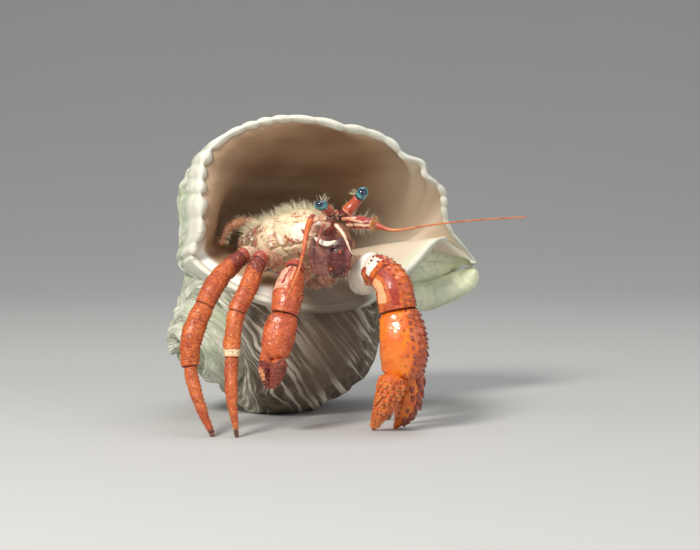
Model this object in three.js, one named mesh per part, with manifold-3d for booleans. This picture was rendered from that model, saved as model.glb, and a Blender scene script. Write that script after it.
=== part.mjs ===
// A hermit crab standing in a rapa-whelk shell, life size, in millimetres, +Z up, the crab facing -Y.
// The shell is a coiled tube: one closed section carried round the coiling axis, growing by a fixed
// ratio each turn. The crab's limbs are round-ended segments strung along smooth paths.
import * as THREE from 'three';
import Module from 'manifold-3d';

const wasm = await Module();
wasm.setup();

const rad = THREE.MathUtils.degToRad;
const vec = (x, y, z) => new THREE.Vector3(x, y, z);

// ---------- sizes of the whole ----------
const centreX = 6.4;            // middle of the whole in plan, taken to the origin at the end
const centreY = 1.9;
const jointGap = 0.36;          // clear space between two neighbouring segments

// ---------- shell ----------
const apex = vec(-45.5, -3, 20.2);
const axisYaw = rad(28);
const axisTilt = rad(14.4);
const growthPerTurn = 1.95;
const rimAngle = rad(40);       // where the mouth's plane stands, from straight up towards the front
const flareSweep = rad(85);     // the last part of the whorl, opening into the mouth
const varixSweep = rad(16);     // thickened collar just behind the lip
const lipHalf = 1.2;
const knobsPerTurn = 9;
const knobHeight = 4.6;
const knobPhase = rad(20);
const ribCount = 15;
const ribHeight = 0.5;
const cavityDepth = rad(-250);
const wallGrowth = 0.12;        // share by which the space narrows further in

// radius from the axis, distance along it: section of the body whorl and of the space inside
const outerSection = [[26, 31], [34.5, 30.5], [43, 39.5], [46.8, 52], [47, 65], [44.8, 79],
  [40.5, 91], [32.5, 100], [21, 106], [10, 109], [6, 105], [5, 93], [5, 77], [5.5, 61], [9, 47],
  [18, 37]];
const innerSection = [[28.5, 36], [34, 33.8], [40.5, 41.5], [44.2, 53], [44.2, 64.5], [41, 77.3],
  [34.5, 88.8], [25.5, 97], [16, 102.5], [11.5, 103.5], [10.5, 99], [10.5, 89], [12.5, 75],
  [18, 61], [25, 49.5], [28.7, 41]];
// lip of the mouth, from its lower left corner up, over, down the right side to the canal and back
const lipLine = [[-35, -9, 45.5], [-33.5, -14, 55.5], [-33.5, -14, 66], [-32, -12, 76],
  [-23.5, -10, 83], [-10, -6, 86.5], [4.5, 0, 85], [17.5, 8, 80.5], [28.5, 16, 74],
  [36, 24, 64.5], [39, 31, 54], [47, 40, 43.5], [36, 30, 51], [25, 20, 41.5], [7.5, -7, 33],
  [-15, -18, 35.5]];
const collarLine = [[-39, 4, 43], [-39.6, 1, 53], [-38.5, -2, 66], [-35, 0, 75.5],
  [-25, 2, 82.5], [-10.5, 8, 86], [4.5, 14, 84.5], [17.5, 20, 79.5], [28, 28, 72.5],
  [35, 35, 63], [38, 40, 53.5], [46.5, 46, 42], [35.5, 38, 48.5], [24, 28, 38.5], [7, 2, 31],
  [-16.5, -8, 33]];
// the ridge wound round the umbilicus
const fascioleLine = [[48, 43.5, 41], [43.7, 46, 36.5], [35.8, 45, 33.5], [26.8, 41, 32],
  [19, 36, 30.5]];
const fascioleRadii = [2.6, 4, 4.6, 4.6, 4.2];
// the pillar behind the umbilicus, which closes it at the back
const pillarLine = [[45.5, 49.5, 44], [39, 50.5, 44], [29, 46.5, 43], [19, 40, 43]];
const pillarRadii = [2.4, 5.6, 7.4, 7.6];

const smooth = (x) => {
  const t = Math.min(1, Math.max(0, x));
  return t * t * (3 - 2 * t);
};

const closedCurve = (points) => new THREE.CatmullRomCurve3(
  points.map((p) => vec(...p)), true, 'catmullrom', 0.5);

const outerCurve = closedCurve(outerSection.map(([r, z]) => [r, z, 0]));
const innerCurve = closedCurve(innerSection.map(([r, z]) => [r, z, 0]));
const middleCurve = new THREE.LineCurve3(vec(28, 65, 0), vec(28, 65, 0));
const lipCurve = closedCurve(lipLine);
const collarCurve = closedCurve(collarLine);

const axis = vec(
  Math.cos(axisYaw) * Math.cos(axisTilt), Math.sin(axisYaw) * Math.cos(axisTilt),
  Math.sin(axisTilt));
const axisUp = vec(0, 0, 1).addScaledVector(axis, -axis.z).normalize();
const axisFront = axis.clone().cross(axisUp);
const lipMiddle = lipLine.reduce((sum, p) => sum.add(vec(...p)), vec(0, 0, 0))
  .divideScalar(lipLine.length);

// a point of the coiled tube: angle back from the mouth, section, share of the way round it
function coiled(angle, curve, share) {
  const scale = growthPerTurn ** (angle / (2 * Math.PI));
  const around = rimAngle + angle;
  const at = curve.getPoint(share);
  return apex.clone()
    .addScaledVector(axis, scale * at.y)
    .addScaledVector(axisUp, scale * at.x * Math.cos(around))
    .addScaledVector(axisFront, scale * at.x * Math.sin(around));
}

// a blunt knob at the shoulder, repeated round each turn, and fine ribs along the coil
function relief(angle, share) {
  const scale = growthPerTurn ** (angle / (2 * Math.PI));
  const turn = ((angle - knobPhase) / (2 * Math.PI)) * knobsPerTurn;
  const along = (turn - Math.round(turn)) / 0.2;
  const across = (share - 0.115) / 0.035;
  const fade = smooth((-angle - rad(10)) / rad(25));
  const knob = knobHeight * Math.exp(-along * along - across * across);
  const rib = ribHeight * Math.cos(2 * Math.PI * ribCount * share) * smooth((0.62 - share) / 0.1);
  return scale * fade * (knob + rib);
}

function outerRing(angle, sides) {
  const ring = [];
  for (let i = 0; i < sides; i += 1) {
    const share = i / sides;
    const lip = lipCurve.getPoint(share);
    const out = lip.clone().sub(lipMiddle).normalize();
    const point = coiled(angle, outerCurve, share);
    const collar = collarCurve.getPoint(share).addScaledVector(out, lipHalf);
    point.lerp(collar, smooth((angle + flareSweep) / (flareSweep - varixSweep)));
    point.addScaledVector(out, relief(angle, share));
    const last = Math.max(0, (angle + varixSweep) / varixSweep) ** 0.8;
    ring.push(point.lerp(lip.addScaledVector(out, lipHalf), last));
  }
  return ring;
}

function innerRing(angle, sides) {
  const ring = [];
  for (let i = 0; i < sides; i += 1) {
    const share = i / sides;
    const lip = lipCurve.getPoint(share);
    const out = lip.clone().sub(lipMiddle).normalize();
    const point = coiled(angle, innerCurve, share);
    const middle = coiled(angle, middleCurve, share);
    point.lerp(middle, wallGrowth * smooth((-angle - rad(90)) / rad(90)));
    ring.push(point.lerp(lip.addScaledVector(out, -lipHalf),
      smooth((angle + flareSweep) / flareSweep)));
  }
  return ring;
}

// a closed skin over a row of rings, with a flat fan at each end
function loft(rings) {
  const sides = rings[0].length;
  const positions = rings.flat().flatMap((p) => [p.x, p.y, p.z]);
  const faces = [];
  for (let i = 0; i + 1 < rings.length; i += 1) {
    for (let j = 0; j < sides; j += 1) {
      const k = (j + 1) % sides;
      const a = i * sides + j;
      const b = i * sides + k;
      const c = a + sides;
      const d = b + sides;
      faces.push(a, b, d, a, d, c);
    }
  }
  for (const [row, turn] of [[0, 1], [rings.length - 1, 0]]) {
    const middle = positions.length / 3;
    const sum = rings[row].reduce((s, p) => s.add(p), vec(0, 0, 0)).divideScalar(sides);
    positions.push(sum.x, sum.y, sum.z);
    for (let j = 0; j < sides; j += 1) {
      const k = (j + 1) % sides;
      const a = row * sides + j;
      const b = row * sides + k;
      faces.push(...(turn ? [middle, b, a] : [middle, a, b]));
    }
  }
  return toManifold(positions, faces);
}

// a solid for joining and cutting, turned right side out
function toManifold(positions, faces) {
  let volume = 0;
  const at = (i) => vec(positions[3 * i], positions[3 * i + 1], positions[3 * i + 2]);
  for (let f = 0; f < faces.length; f += 3) {
    volume += at(faces[f]).dot(at(faces[f + 1]).cross(at(faces[f + 2])));
  }
  const order = volume < 0
    ? faces.map((_, i) => faces[i - (i % 3) + [0, 2, 1][i % 3]])
    : faces;
  return new wasm.Manifold(new wasm.Mesh({
    numProp: 3,
    vertProperties: new Float32Array(positions),
    triVerts: new Uint32Array(order),
  }));
}

const angles = (from, to, count) => Array.from(
  { length: count + 1 }, (_, i) => rad(from + ((to - from) * i) / count));

function tubeAlong(line, radii, count, sides) {
  const curve = new THREE.CatmullRomCurve3(line.map((p) => vec(...p)), false, 'catmullrom', 0.5);
  const sizes = new THREE.CatmullRomCurve3(radii.map((r) => vec(r, 0, 0)), false, 'catmullrom', 0.5);
  const rings = [];
  for (let i = 0; i <= count; i += 1) {
    rings.push(ringAt(curve, i / count, sizes.getPoint(i / count).x, 1, sides));
  }
  return loft(rings);
}

// an oval ring square to a path: half width across, the other half width towards the front
function ringAt(curve, t, half, flatness, sides, front = vec(0, 1, -0.05)) {
  const middle = curve.getPoint(t);
  const along = curve.getTangent(t);
  const deep = front.clone().addScaledVector(along, -front.dot(along)).normalize();
  const wide = deep.clone().cross(along);
  const ring = [];
  for (let i = 0; i < sides; i += 1) {
    const a = (2 * Math.PI * i) / sides;
    ring.push(middle.clone()
      .addScaledVector(wide, half * Math.cos(a))
      .addScaledVector(deep, half * flatness * Math.sin(a)));
  }
  return ring;
}

// everything below the floor is cut away, leaving small flats at one level
const ground = toManifold(...boxFaces(vec(-90, -90, -30), vec(90, 90, 0)));

function shellSolid() {
  const sides = 28;
  const turns = [
    [-1080, -780, 8, 9], [-780, -480, 15, 14], [-480, -205, 19, 20], [-205, -85, 10, sides],
  ];
  let solid = tubeAlong(fascioleLine, fascioleRadii, 6, 9)
    .add(tubeAlong(pillarLine, pillarRadii, 4, 9));
  for (const [from, to, count, around] of turns) {
    solid = solid.add(loft(angles(from, to, count).map((a) => outerRing(a, around))));
  }
  const mouthAngles = [...angles(-85, -16, 7), rad(-9), rad(-3), 0];
  solid = solid.add(loft(mouthAngles.map((a) => outerRing(a, sides))));
  const cavity = [cavityDepth, ...angles(-235, -60, 8), ...angles(-45, 0, 3)]
    .map((a) => innerRing(a, 22));
  const away = vec(0.1, -0.9, 0.25).multiplyScalar(16);
  cavity.push(cavity[cavity.length - 1].map((p) => p.clone().add(away)));
  solid = solid.subtract(loft(cavity));
  // the cut leaves a crumb loose in the fold of the canal, which is left out
  const bodies = solid.subtract(ground).decompose();
  return bodies.sort((a, b) => b.volume() - a.volume())[0];
}

function boxFaces(low, high) {
  const positions = [];
  for (const z of [low.z, high.z]) {
    positions.push(low.x, low.y, z, high.x, low.y, z, high.x, high.y, z, low.x, high.y, z);
  }
  const faces = [0, 2, 1, 0, 3, 2, 4, 5, 6, 4, 6, 7];
  for (let i = 0; i < 4; i += 1) {
    const j = (i + 1) % 4;
    faces.push(i, j, j + 4, i, j + 4, i + 4);
  }
  return [positions, faces];
}

// ---------- limbs ----------
// Each limb is one smooth path through its segments' points [x, y, z]; neighbours share the point
// between them. A segment swells by its half widths and is rounded off at both ends.
function limb(segments, sides = 8, front = undefined) {
  const points = [];
  const spans = segments.map((part) => {
    const first = points.length ? points.length - 1 : 0;
    points.push(...(points.length ? part.at.slice(1) : part.at));
    return [first, points.length - 1];
  });
  const curve = new THREE.CatmullRomCurve3(
    points.map((p) => vec(...p)), false, 'catmullrom', 0.5);
  const last = points.length - 1;
  return segments.map((part, index) => {
    const [first, end] = spans[index];
    const sizes = new THREE.CatmullRomCurve3(
      part.half.map((r) => vec(r, 0, 0)), false, 'catmullrom', 0.5);
    return {
      name: part.name,
      colour: part.colour,
      solid: segmentSolid(curve, first / last, end / last, sizes, part, sides, front),
    };
  });
}

function segmentSolid(curve, from, to, sizes, part, sides, front) {
  const steps = 40;
  const lengths = [0];
  for (let i = 1; i <= steps; i += 1) {
    const a = curve.getPoint(from + ((to - from) * (i - 1)) / steps);
    const b = curve.getPoint(from + ((to - from) * i) / steps);
    lengths.push(lengths[i - 1] + a.distanceTo(b));
  }
  const whole = lengths[steps];
  const shareAt = (distance) => {
    let i = 1;
    while (i < steps && lengths[i] < distance) {
      i += 1;
    }
    return (i - 1 + (distance - lengths[i - 1]) / (lengths[i] - lengths[i - 1])) / steps;
  };
  const start = jointGap / 2;
  const finish = whole - jointGap / 2;
  const roundStart = 0.7 * part.half[0];
  const roundEnd = 0.7 * part.half[part.half.length - 1];
  const middle = part.rings ?? 3;
  const body = finish - start - 0.9 * roundStart - 0.9 * roundEnd;
  const stops = [start, start + 0.45 * roundStart];
  for (let i = 1; i <= middle; i += 1) {
    stops.push(start + 0.9 * roundStart + (body * (i - 1)) / (middle - 1));
  }
  stops.push(finish - 0.45 * roundEnd, finish);
  const rings = stops.map((distance) => {
    const share = shareAt(distance);
    const near = Math.min(1, (distance - start) / roundStart);
    const far = Math.min(1, (finish - distance) / roundEnd);
    const taper = Math.sqrt(1 - 0.75 * (1 - near) ** 2) * Math.sqrt(1 - 0.75 * (1 - far) ** 2);
    return ringAt(curve, from + (to - from) * share, sizes.getPoint(share).x * taper,
      part.flat ?? 0.9, sides, front);
  });
  return loft(rings);
}

// ---------- colours ----------
const orange = 0xd8571f;
const brightOrange = 0xe8701c;
const cream = 0xe6d3b0;
const maroon = 0x7c2f30;
const pink = 0xd98d84;
const shellColour = 0xa9b296;

const nodes = [];
const addNode = (name, solid, colour, roughness = 0.6) => {
  nodes.push({ name, solid: solid.subtract(ground), colour, roughness });
};

addNode('shell', shellSolid(), shellColour, 0.7);

const limbs = [
  // the great claw, the crab's left
  [
    { name: 'claw_left_merus', colour: cream, half: [2.8, 4.4, 4.1], flat: 0.85,
      at: [[10.6, -16.5, 39], [12.6, -21.5, 41.4], [15, -27.4, 44.8]] },
    { name: 'claw_left_carpus', colour: orange, half: [3.4, 4.8, 5], flat: 0.85,
      at: [[15, -27.4, 44.8], [20, -32.6, 40.6], [21.6, -34, 33.3]] },
    { name: 'claw_left_palm', colour: brightOrange, half: [5, 6.4, 5.6], flat: 0.7,
      at: [[21.6, -34, 33.3], [23.2, -36, 24.4], [23, -34, 15.2]] },
  ],
  [
    { name: 'claw_right_merus', colour: pink, half: [2.3, 3.1, 2.6], flat: 0.9,
      at: [[-3.4, -21.4, 42], [-5.6, -26, 44], [-6.7, -30.8, 44.2]] },
    { name: 'claw_right_carpus', colour: orange, half: [2.5, 3.9, 3.5], flat: 0.85,
      at: [[-6.7, -30.8, 44.2], [-8.4, -36.2, 38], [-9.2, -38.6, 32.8]] },
    { name: 'claw_right_palm', colour: orange, half: [3.7, 4.3, 3.3], flat: 0.75,
      at: [[-9.2, -38.6, 32.8], [-10.8, -40.2, 26.5], [-12, -41, 20.6]] },
  ],
  [
    { name: 'leg_right_2_merus', colour: cream, half: [1.8, 2.2, 2.0],
      at: [[-9.6, -19.5, 43.6], [-13.6, -25, 47.2], [-16.4, -30, 46.8]] },
    { name: 'leg_right_2_carpus', colour: orange, half: [2.0, 2.4, 2.3],
      at: [[-16.4, -30, 46.8], [-19.4, -35.4, 38.8], [-22, -37.8, 33.3]] },
    { name: 'leg_right_2_propodus', colour: orange, half: [2.2, 2.2, 2.0],
      at: [[-22, -37.8, 33.3], [-23.1, -39.2, 26.7], [-23.3, -40.2, 21]] },
    { name: 'leg_right_2_dactylus', colour: orange, half: [1.8, 1.5, 0.5],
      at: [[-23.3, -40.2, 21], [-23.2, -43.2, 11.3], [-21.7, -44.8, -0.6]] },
  ],
  [
    { name: 'leg_right_3_merus', colour: cream, half: [1.8, 2.4, 2.1],
      at: [[-14.6, -16.8, 44.2], [-18.4, -20.2, 47.6], [-21.6, -23.4, 47.4]] },
    { name: 'leg_right_3_carpus', colour: orange, half: [2.1, 2.6, 2.5],
      at: [[-21.6, -23.4, 47.4], [-27.4, -30, 41.9], [-31.1, -34.5, 34.8]] },
    { name: 'leg_right_3_propodus', colour: orange, half: [2.5, 2.75, 2.3],
      at: [[-31.1, -34.5, 34.8], [-34.2, -38, 26.8], [-34.6, -39.5, 18.6]] },
    { name: 'leg_right_3_dactylus', colour: orange, half: [1.7, 1.45, 0.5],
      at: [[-34.6, -39.5, 18.6], [-32.1, -42.4, 9.4], [-28.2, -43.3, -0.6]] },
  ],
  [
    { name: 'leg_left_2_merus', colour: cream, half: [1.8, 2.3, 2.1],
      at: [[10.6, -9, 43.2], [15.5, -13.4, 45.6], [19.4, -17.6, 44]] },
    { name: 'leg_left_2_carpus', colour: orange, half: [2.1, 2.6, 2.6],
      at: [[19.4, -17.6, 44], [22.2, -20.4, 38.8], [22.8, -21.8, 32.4]] },
    { name: 'leg_left_2_propodus', colour: orange, half: [2.5, 2.8, 2.2],
      at: [[22.8, -21.8, 32.4], [23.4, -22.8, 25.6], [23.2, -22.6, 18]] },
    { name: 'leg_left_2_dactylus', colour: orange, half: [1.7, 1.45, 0.5],
      at: [[23.2, -22.6, 18], [22.8, -21, 8.4], [21.6, -18.2, -0.6]] },
  ],
  [
    { name: 'leg_left_3_merus', colour: cream, half: [1.6, 2.1, 2],
      at: [[3.6, 2.4, 44.8], [10.5, 0, 44.8], [16.4, -3.4, 44.2]] },
    { name: 'leg_left_3_carpus', colour: orange, half: [2, 2.5, 2.5],
      at: [[16.4, -3.4, 44.2], [21, -7.4, 38.5], [22.4, -9.4, 31.5]] },
    { name: 'leg_left_3_propodus', colour: orange, half: [2.4, 2.6, 2.2],
      at: [[22.4, -9.4, 31.5], [23, -10.6, 24.4], [22.4, -10.8, 16.8]] },
    { name: 'leg_left_3_dactylus', colour: orange, half: [1.7, 1.4, 0.5],
      at: [[22.4, -10.8, 16.8], [21.4, -9.4, 8], [19.6, -6.8, -0.6]] },
  ],
  [
    { name: 'leg_right_4', colour: orange, half: [1, 1.4, 1.4, 0.7], flat: 0.8, rings: 5,
      at: [[-17, -0.6, 56], [-21.6, -1, 56.8], [-26.2, -3.4, 55], [-28.4, -6.2, 50.4]] },
  ],
  [
    { name: 'leg_left_4', colour: orange, half: [1, 1.4, 1.4, 0.7], flat: 0.8, rings: 5,
      at: [[-6, -3.4, 55.2], [0, -4.4, 56.4], [5, -6.4, 55], [8, -9, 51]] },
  ],
];
const upFront = vec(0, 0, 1);
const bodyParts = [
  { sides: 12, segments: [
    { name: 'carapace_shield', colour: cream, half: [2.6, 6, 6.6], flat: 0.98, rings: 4,
      at: [[4.4, -26, 56.4], [-1.8, -21.5, 54.6], [-9.6, -15, 52.8]] },
    { name: 'carapace_rear', colour: pink, half: [6.4, 5, 3], flat: 0.98, rings: 4,
      at: [[-9.6, -15, 52.8], [-16.6, -7.6, 50.6], [-21.6, -1.6, 49.8]] },
    { name: 'abdomen', colour: maroon, half: [3, 3.8, 4.2, 4.6, 4.6, 3.4, 1.4], flat: 0.95,
      rings: 9,
      at: [[-21.6, -1.6, 49.8], [-15, 8, 53.6], [-5.5, 20, 53.8], [5, 34, 50],
        [4, 41.5, 35], [-2, 39.6, 23], [-8, 37, 15.5]] },
  ] },
  { sides: 10, segments: [
    { name: 'thorax', colour: pink, half: [2.6, 3.6, 2.2], flat: 1,
      at: [[5, -20, 42.6], [-1.6, -16.6, 42.2], [-8, -13.6, 42.6]] },
  ] },
  { sides: 10, segments: [
    { name: 'mouth', colour: maroon, half: [2.6, 3.4, 2.6], flat: 0.7,
      at: [[4.8, -25.8, 51.2], [4.6, -24.4, 48], [4.6, -22.8, 45.6]] },
  ] },
  { sides: 8, front: upFront, segments: [
    { name: 'eyestalk_right', colour: orange, half: [1.4, 1.4, 1.5], flat: 0.8,
      at: [[3.5, -26.6, 59.6], [2.6, -30, 60.7], [1.4, -33.7, 61.7]] },
    { name: 'eye_right', colour: 0x2f6f73, half: [1.5, 1.9, 1.5], flat: 0.74,
      at: [[1.4, -33.7, 61.7], [0.8, -35.6, 62.2], [0.3, -37.1, 62.6]] },
  ] },
  { sides: 8, segments: [
    { name: 'eyestalk_left', colour: orange, half: [1.8, 1.7, 1.4], flat: 1.1,
      at: [[6.2, -24, 58.4], [8.8, -24.8, 61.2], [11, -25.4, 63.9]] },
    { name: 'eye_left', colour: 0x2f6f73, half: [1.4, 1.6, 1.3], flat: 1.15,
      at: [[11, -25.4, 63.9], [12.1, -25.7, 65.5], [13, -26, 66.8]] },
  ] },
  { sides: 6, segments: [
    { name: 'antenna_left_base', colour: maroon, half: [1.5, 1.9, 1.4], flat: 0.8,
      at: [[8, -28.6, 57.2], [11, -31.4, 57.4], [15.4, -34, 57]] },
    { name: 'antenna_left_whip', colour: orange, half: [0.7, 0.5, 0.35, 0.3, 0.3, 0.3], flat: 1,
      rings: 9,
      at: [[15.4, -34, 57], [20.4, -36, 55.5], [27.6, -38, 56.5], [35.8, -38, 57.6],
        [46.7, -36, 58.5], [56.9, -34, 59]] },
  ] },
  { sides: 6, front: vec(1, 0, 0), segments: [
    { name: 'antenna_right_base', colour: maroon, half: [1.3, 1.2, 1], flat: 0.9,
      at: [[-1.4, -30, 59], [-2.8, -35.4, 56], [-3.9, -38.8, 49.8]] },
    { name: 'antenna_right_whip', colour: orange, half: [0.5, 0.35, 0.3, 0.3], flat: 1, rings: 5,
      at: [[-3.9, -38.8, 49.8], [-5, -43, 45.2], [-6.6, -48, 41.2], [-8.2, -54, 37.6]] },
  ] },
  { sides: 6, segments: [
    { name: 'antennule_left', colour: pink, half: [0.7, 0.6, 0.45], flat: 1,
      at: [[4.6, -32, 57], [6.8, -34.4, 54.4], [9.2, -35.6, 49]] },
  ] },
  { sides: 6, segments: [
    { name: 'antennule_right', colour: pink, half: [0.7, 0.6, 0.45], flat: 1,
      at: [[1.8, -32.4, 57], [0.6, -36, 54.8], [-0.4, -37.6, 50.6]] },
  ] },
  { sides: 8, segments: [
    { name: 'maxilliped_right', colour: maroon, half: [2.1, 2.9, 1.9], flat: 0.6,
      at: [[1.2, -30.8, 53.6], [0, -32.4, 48.3], [0.6, -30.4, 42.6]] },
  ] },
  { sides: 8, segments: [
    { name: 'maxilliped_left', colour: maroon, half: [2, 2.9, 1.9], flat: 0.6,
      at: [[6.1, -30, 53], [6.2, -31.4, 48], [5.4, -29.4, 42.4]] },
  ] },
];
for (const { segments, sides, front } of bodyParts) {
  for (const part of limb(segments, sides, front)) {
    addNode(part.name, part.solid, part.colour);
  }
}

// the hand and its fixed finger are one piece; the movable finger lies along it
const fingers = [
  { hand: 'claw_left_palm', name: 'claw_left_finger', colour: brightOrange,
    fixed: { half: [3.6, 3.1, 2.5, 0.5], flat: 0.8,
      at: [[25, -32.7, 18], [25.8, -30.8, 12.6], [24.8, -28.2, 6], [21.8, -25.8, -0.6]] },
    free: { half: [3.8, 3.5, 2.2, 0.5], flat: 0.8,
      at: [[20.6, -38.4, 16.4], [19.3, -37.2, 11.2], [17.1, -34, 5.5], [15, -29.6, -0.6]] } },
  { hand: 'claw_right_palm', name: 'claw_right_finger', colour: orange,
    fixed: { half: [2.2, 1.6, 0.5], flat: 0.8,
      at: [[-13.6, -40.2, 21.6], [-14.4, -39.8, 17.4], [-13.4, -39.4, 12.6]] },
    free: { half: [2.3, 1.8, 0.5], flat: 0.8,
      at: [[-10.6, -43.6, 21], [-10.8, -43, 17.4], [-12.2, -41.6, 12.8]] } },
];

for (const segments of limbs) {
  for (const part of limb(segments)) {
    const pair = fingers.find((f) => f.hand === part.name);
    if (pair) {
      const [fixed] = limb([{ ...pair.fixed, name: part.name }]);
      const [free] = limb([{ ...pair.free, name: pair.name }]);
      const [room] = limb([{ ...pair.free, half: pair.free.half.map((r) => r + 0.3) }]);
      addNode(part.name, part.solid.add(fixed.solid).subtract(room.solid), part.colour);
      addNode(pair.name, free.solid, pair.colour);
    } else {
      addNode(part.name, part.solid, part.colour);
    }
  }
}

const merged = new THREE.Group();
merged.name = 'hermit_crab';
for (const node of nodes) {
  const mesh = node.solid.getMesh();
  const geometry = new THREE.BufferGeometry();
  const positions = new Float32Array(mesh.vertProperties);
  geometry.setAttribute('position', new THREE.BufferAttribute(positions, 3));
  geometry.setIndex(Array.from(mesh.triVerts));
  geometry.translate(-centreX, -centreY, 0);
  const material = new THREE.MeshStandardMaterial({
    color: node.colour, roughness: node.roughness, metalness: 0,
  });
  const item = new THREE.Mesh(geometry, material);
  item.name = node.name;
  merged.add(item);
}

export default merged;
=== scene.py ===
import math

import bpy
import numpy as np
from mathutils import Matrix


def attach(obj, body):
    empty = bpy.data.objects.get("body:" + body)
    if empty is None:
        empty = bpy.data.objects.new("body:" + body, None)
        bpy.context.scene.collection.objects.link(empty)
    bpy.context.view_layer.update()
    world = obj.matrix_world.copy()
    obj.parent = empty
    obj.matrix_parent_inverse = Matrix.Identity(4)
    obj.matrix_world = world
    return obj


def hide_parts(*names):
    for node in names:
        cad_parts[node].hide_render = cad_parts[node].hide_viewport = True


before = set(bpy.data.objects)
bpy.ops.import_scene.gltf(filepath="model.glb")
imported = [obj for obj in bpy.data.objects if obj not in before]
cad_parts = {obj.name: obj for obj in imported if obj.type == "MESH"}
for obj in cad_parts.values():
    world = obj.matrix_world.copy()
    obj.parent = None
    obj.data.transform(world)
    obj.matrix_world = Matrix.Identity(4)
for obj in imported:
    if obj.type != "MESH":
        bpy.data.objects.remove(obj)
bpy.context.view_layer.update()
print("stage: frame loaded")

# Shapes are worked out in millimetres and taken to the frame's metres at the end.
planMiddle = np.array([6.4, 1.9, 0.0])
upward = np.array([0.0, 0.0, 1.0])
backward = np.array([0.0, 1.0, -0.05])


def smooth(x, low=0.0, high=1.0):
    # 0 below low, 1 above high, and t*t*(3 - 2t) between
    t = np.clip((np.asarray(x, float) - low) / (high - low), 0, 1)
    return t * t * (3 - 2 * t)


def catmull(points, t, closed=False):
    # curve through the points: each span is the uniform Catmull-Rom cubic of its four neighbours
    points = np.asarray(points, float)
    if points.ndim == 1:
        points = points[:, None]
    count = len(points)
    t = np.asarray(t, float)
    if closed:
        u = (t % 1.0) * count
        low = np.floor(u)
        i = low.astype(int) % count
        f = u - low
        p = [points[(i + k) % count] for k in (-1, 0, 1, 2)]
    else:
        u = np.clip(t, 0, 1) * (count - 1)
        i = np.minimum(np.floor(u).astype(int), count - 2)
        f = u - i
        ends = [2 * points[0] - points[1], 2 * points[-1] - points[-2]]
        longer = np.vstack([ends[0], points, ends[1]])
        p = [longer[i + k + 1] for k in (-1, 0, 1, 2)]
    f = f[:, None]
    return 0.5 * (2 * p[1] + (p[2] - p[0]) * f + (2 * p[0] - 5 * p[1] + 4 * p[2] - p[3]) * f ** 2
                  + (3 * p[1] - p[0] - 3 * p[2] + p[3]) * f ** 3)


def unit(v):
    return v / np.maximum(np.linalg.norm(v, axis=-1, keepdims=True), 1e-9)


def noise(points, size, seed):
    # smooth random heights from -1 to 1: random values on a lattice of that size, blended
    table = np.random.default_rng(seed).uniform(-1, 1, 4096)
    p = np.asarray(points, float) / size
    cell = np.floor(p).astype(np.int64)
    f = p - cell
    f = f * f * (3 - 2 * f)
    total = 0.0
    for dx in (0, 1):
        for dy in (0, 1):
            for dz in (0, 1):
                key = (cell[..., 0] + dx) * 73856093 ^ (cell[..., 1] + dy) * 19349663
                key = (key ^ (cell[..., 2] + dz) * 83492791) % 4096
                weight = (f[..., 0] if dx else 1 - f[..., 0]) * (f[..., 1] if dy else 1 - f[..., 1])
                weight = weight * (f[..., 2] if dz else 1 - f[..., 2])
                total = total + weight * table[key]
    return total


def gridNormals(grid):
    # cross product of the slopes along the rows and round the closed columns
    along = np.gradient(grid, axis=0)
    around = np.roll(grid, -1, axis=1) - np.roll(grid, 1, axis=1)
    return unit(np.cross(around, along))


def outwardNormals(grid):
    # the grid's normals, turned so that they point away from each row's middle
    normals = gridNormals(grid)
    spokes = grid - grid.mean(axis=1, keepdims=True)
    return normals if (normals * spokes).sum() > 0 else -normals


def tubePatch(grid, fields=None, flip=None):
    # A closed skin over a grid of rings: four-sided faces between rings, a fan to a middle point at
    # each end. UV is (share round the ring, share along the rows). Unless flip says which way the
    # rings run, the side away from their middles is the outside.
    rows, around = grid.shape[:2]
    index = np.arange(rows * around).reshape(rows, around)
    right = np.roll(index, -1, axis=1)
    quads = np.stack([index[:-1], right[:-1], right[1:], index[1:]], -1).reshape(-1, 4)
    u = np.arange(around) / around
    v = np.linspace(0, 1, rows)
    u0, v0 = np.meshgrid(u, v[:-1])
    u1, v1 = u0 + 1 / around, np.meshgrid(u, v[1:])[1]
    quadUv = np.stack([np.stack(pair, -1) for pair in ((u0, v0), (u1, v0), (u1, v1), (u0, v1))], 2)
    poles = np.stack([grid[0].mean(0), grid[-1].mean(0)])
    first, last = rows * around, rows * around + 1
    startFan = np.stack([np.full(around, first), right[0], index[0]], -1)
    endFan = np.stack([np.full(around, last), index[-1], right[-1]], -1)
    fanUv = np.stack([np.stack([u + 0.5 / around, u * 0 + k], -1) for k in (0, 1)])
    edge = np.stack([np.stack([u, u * 0], -1), np.stack([u + 1 / around, u * 0], -1)])
    startUv = np.stack([fanUv[0], edge[1], edge[0]], 1)
    endUv = np.stack([fanUv[1], edge[0] + [0, 1], edge[1] + [0, 1]], 1)
    normals = gridNormals(grid)
    spokes = grid - grid.mean(axis=1, keepdims=True)
    inward = (normals * spokes).sum() < 0 if flip is None else flip
    patch = {"points": np.vstack([grid.reshape(-1, 3), poles]), "quads": quads,
             "tris": np.vstack([startFan, endFan]), "quadUv": quadUv.reshape(-1, 4, 2),
             "triUv": np.vstack([startUv, endUv]), "fields": {}}
    for name, value in (fields or {}).items():
        value = np.broadcast_to(value, (rows, around))
        ends = [value[0].mean(), value[-1].mean()]
        patch["fields"][name] = np.append(value.reshape(-1), ends)
    if not inward:
        for faces, uv in (("quads", "quadUv"), ("tris", "triUv")):
            patch[faces] = patch[faces][:, ::-1]
            patch[uv] = patch[uv][:, ::-1]
    return patch


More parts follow.
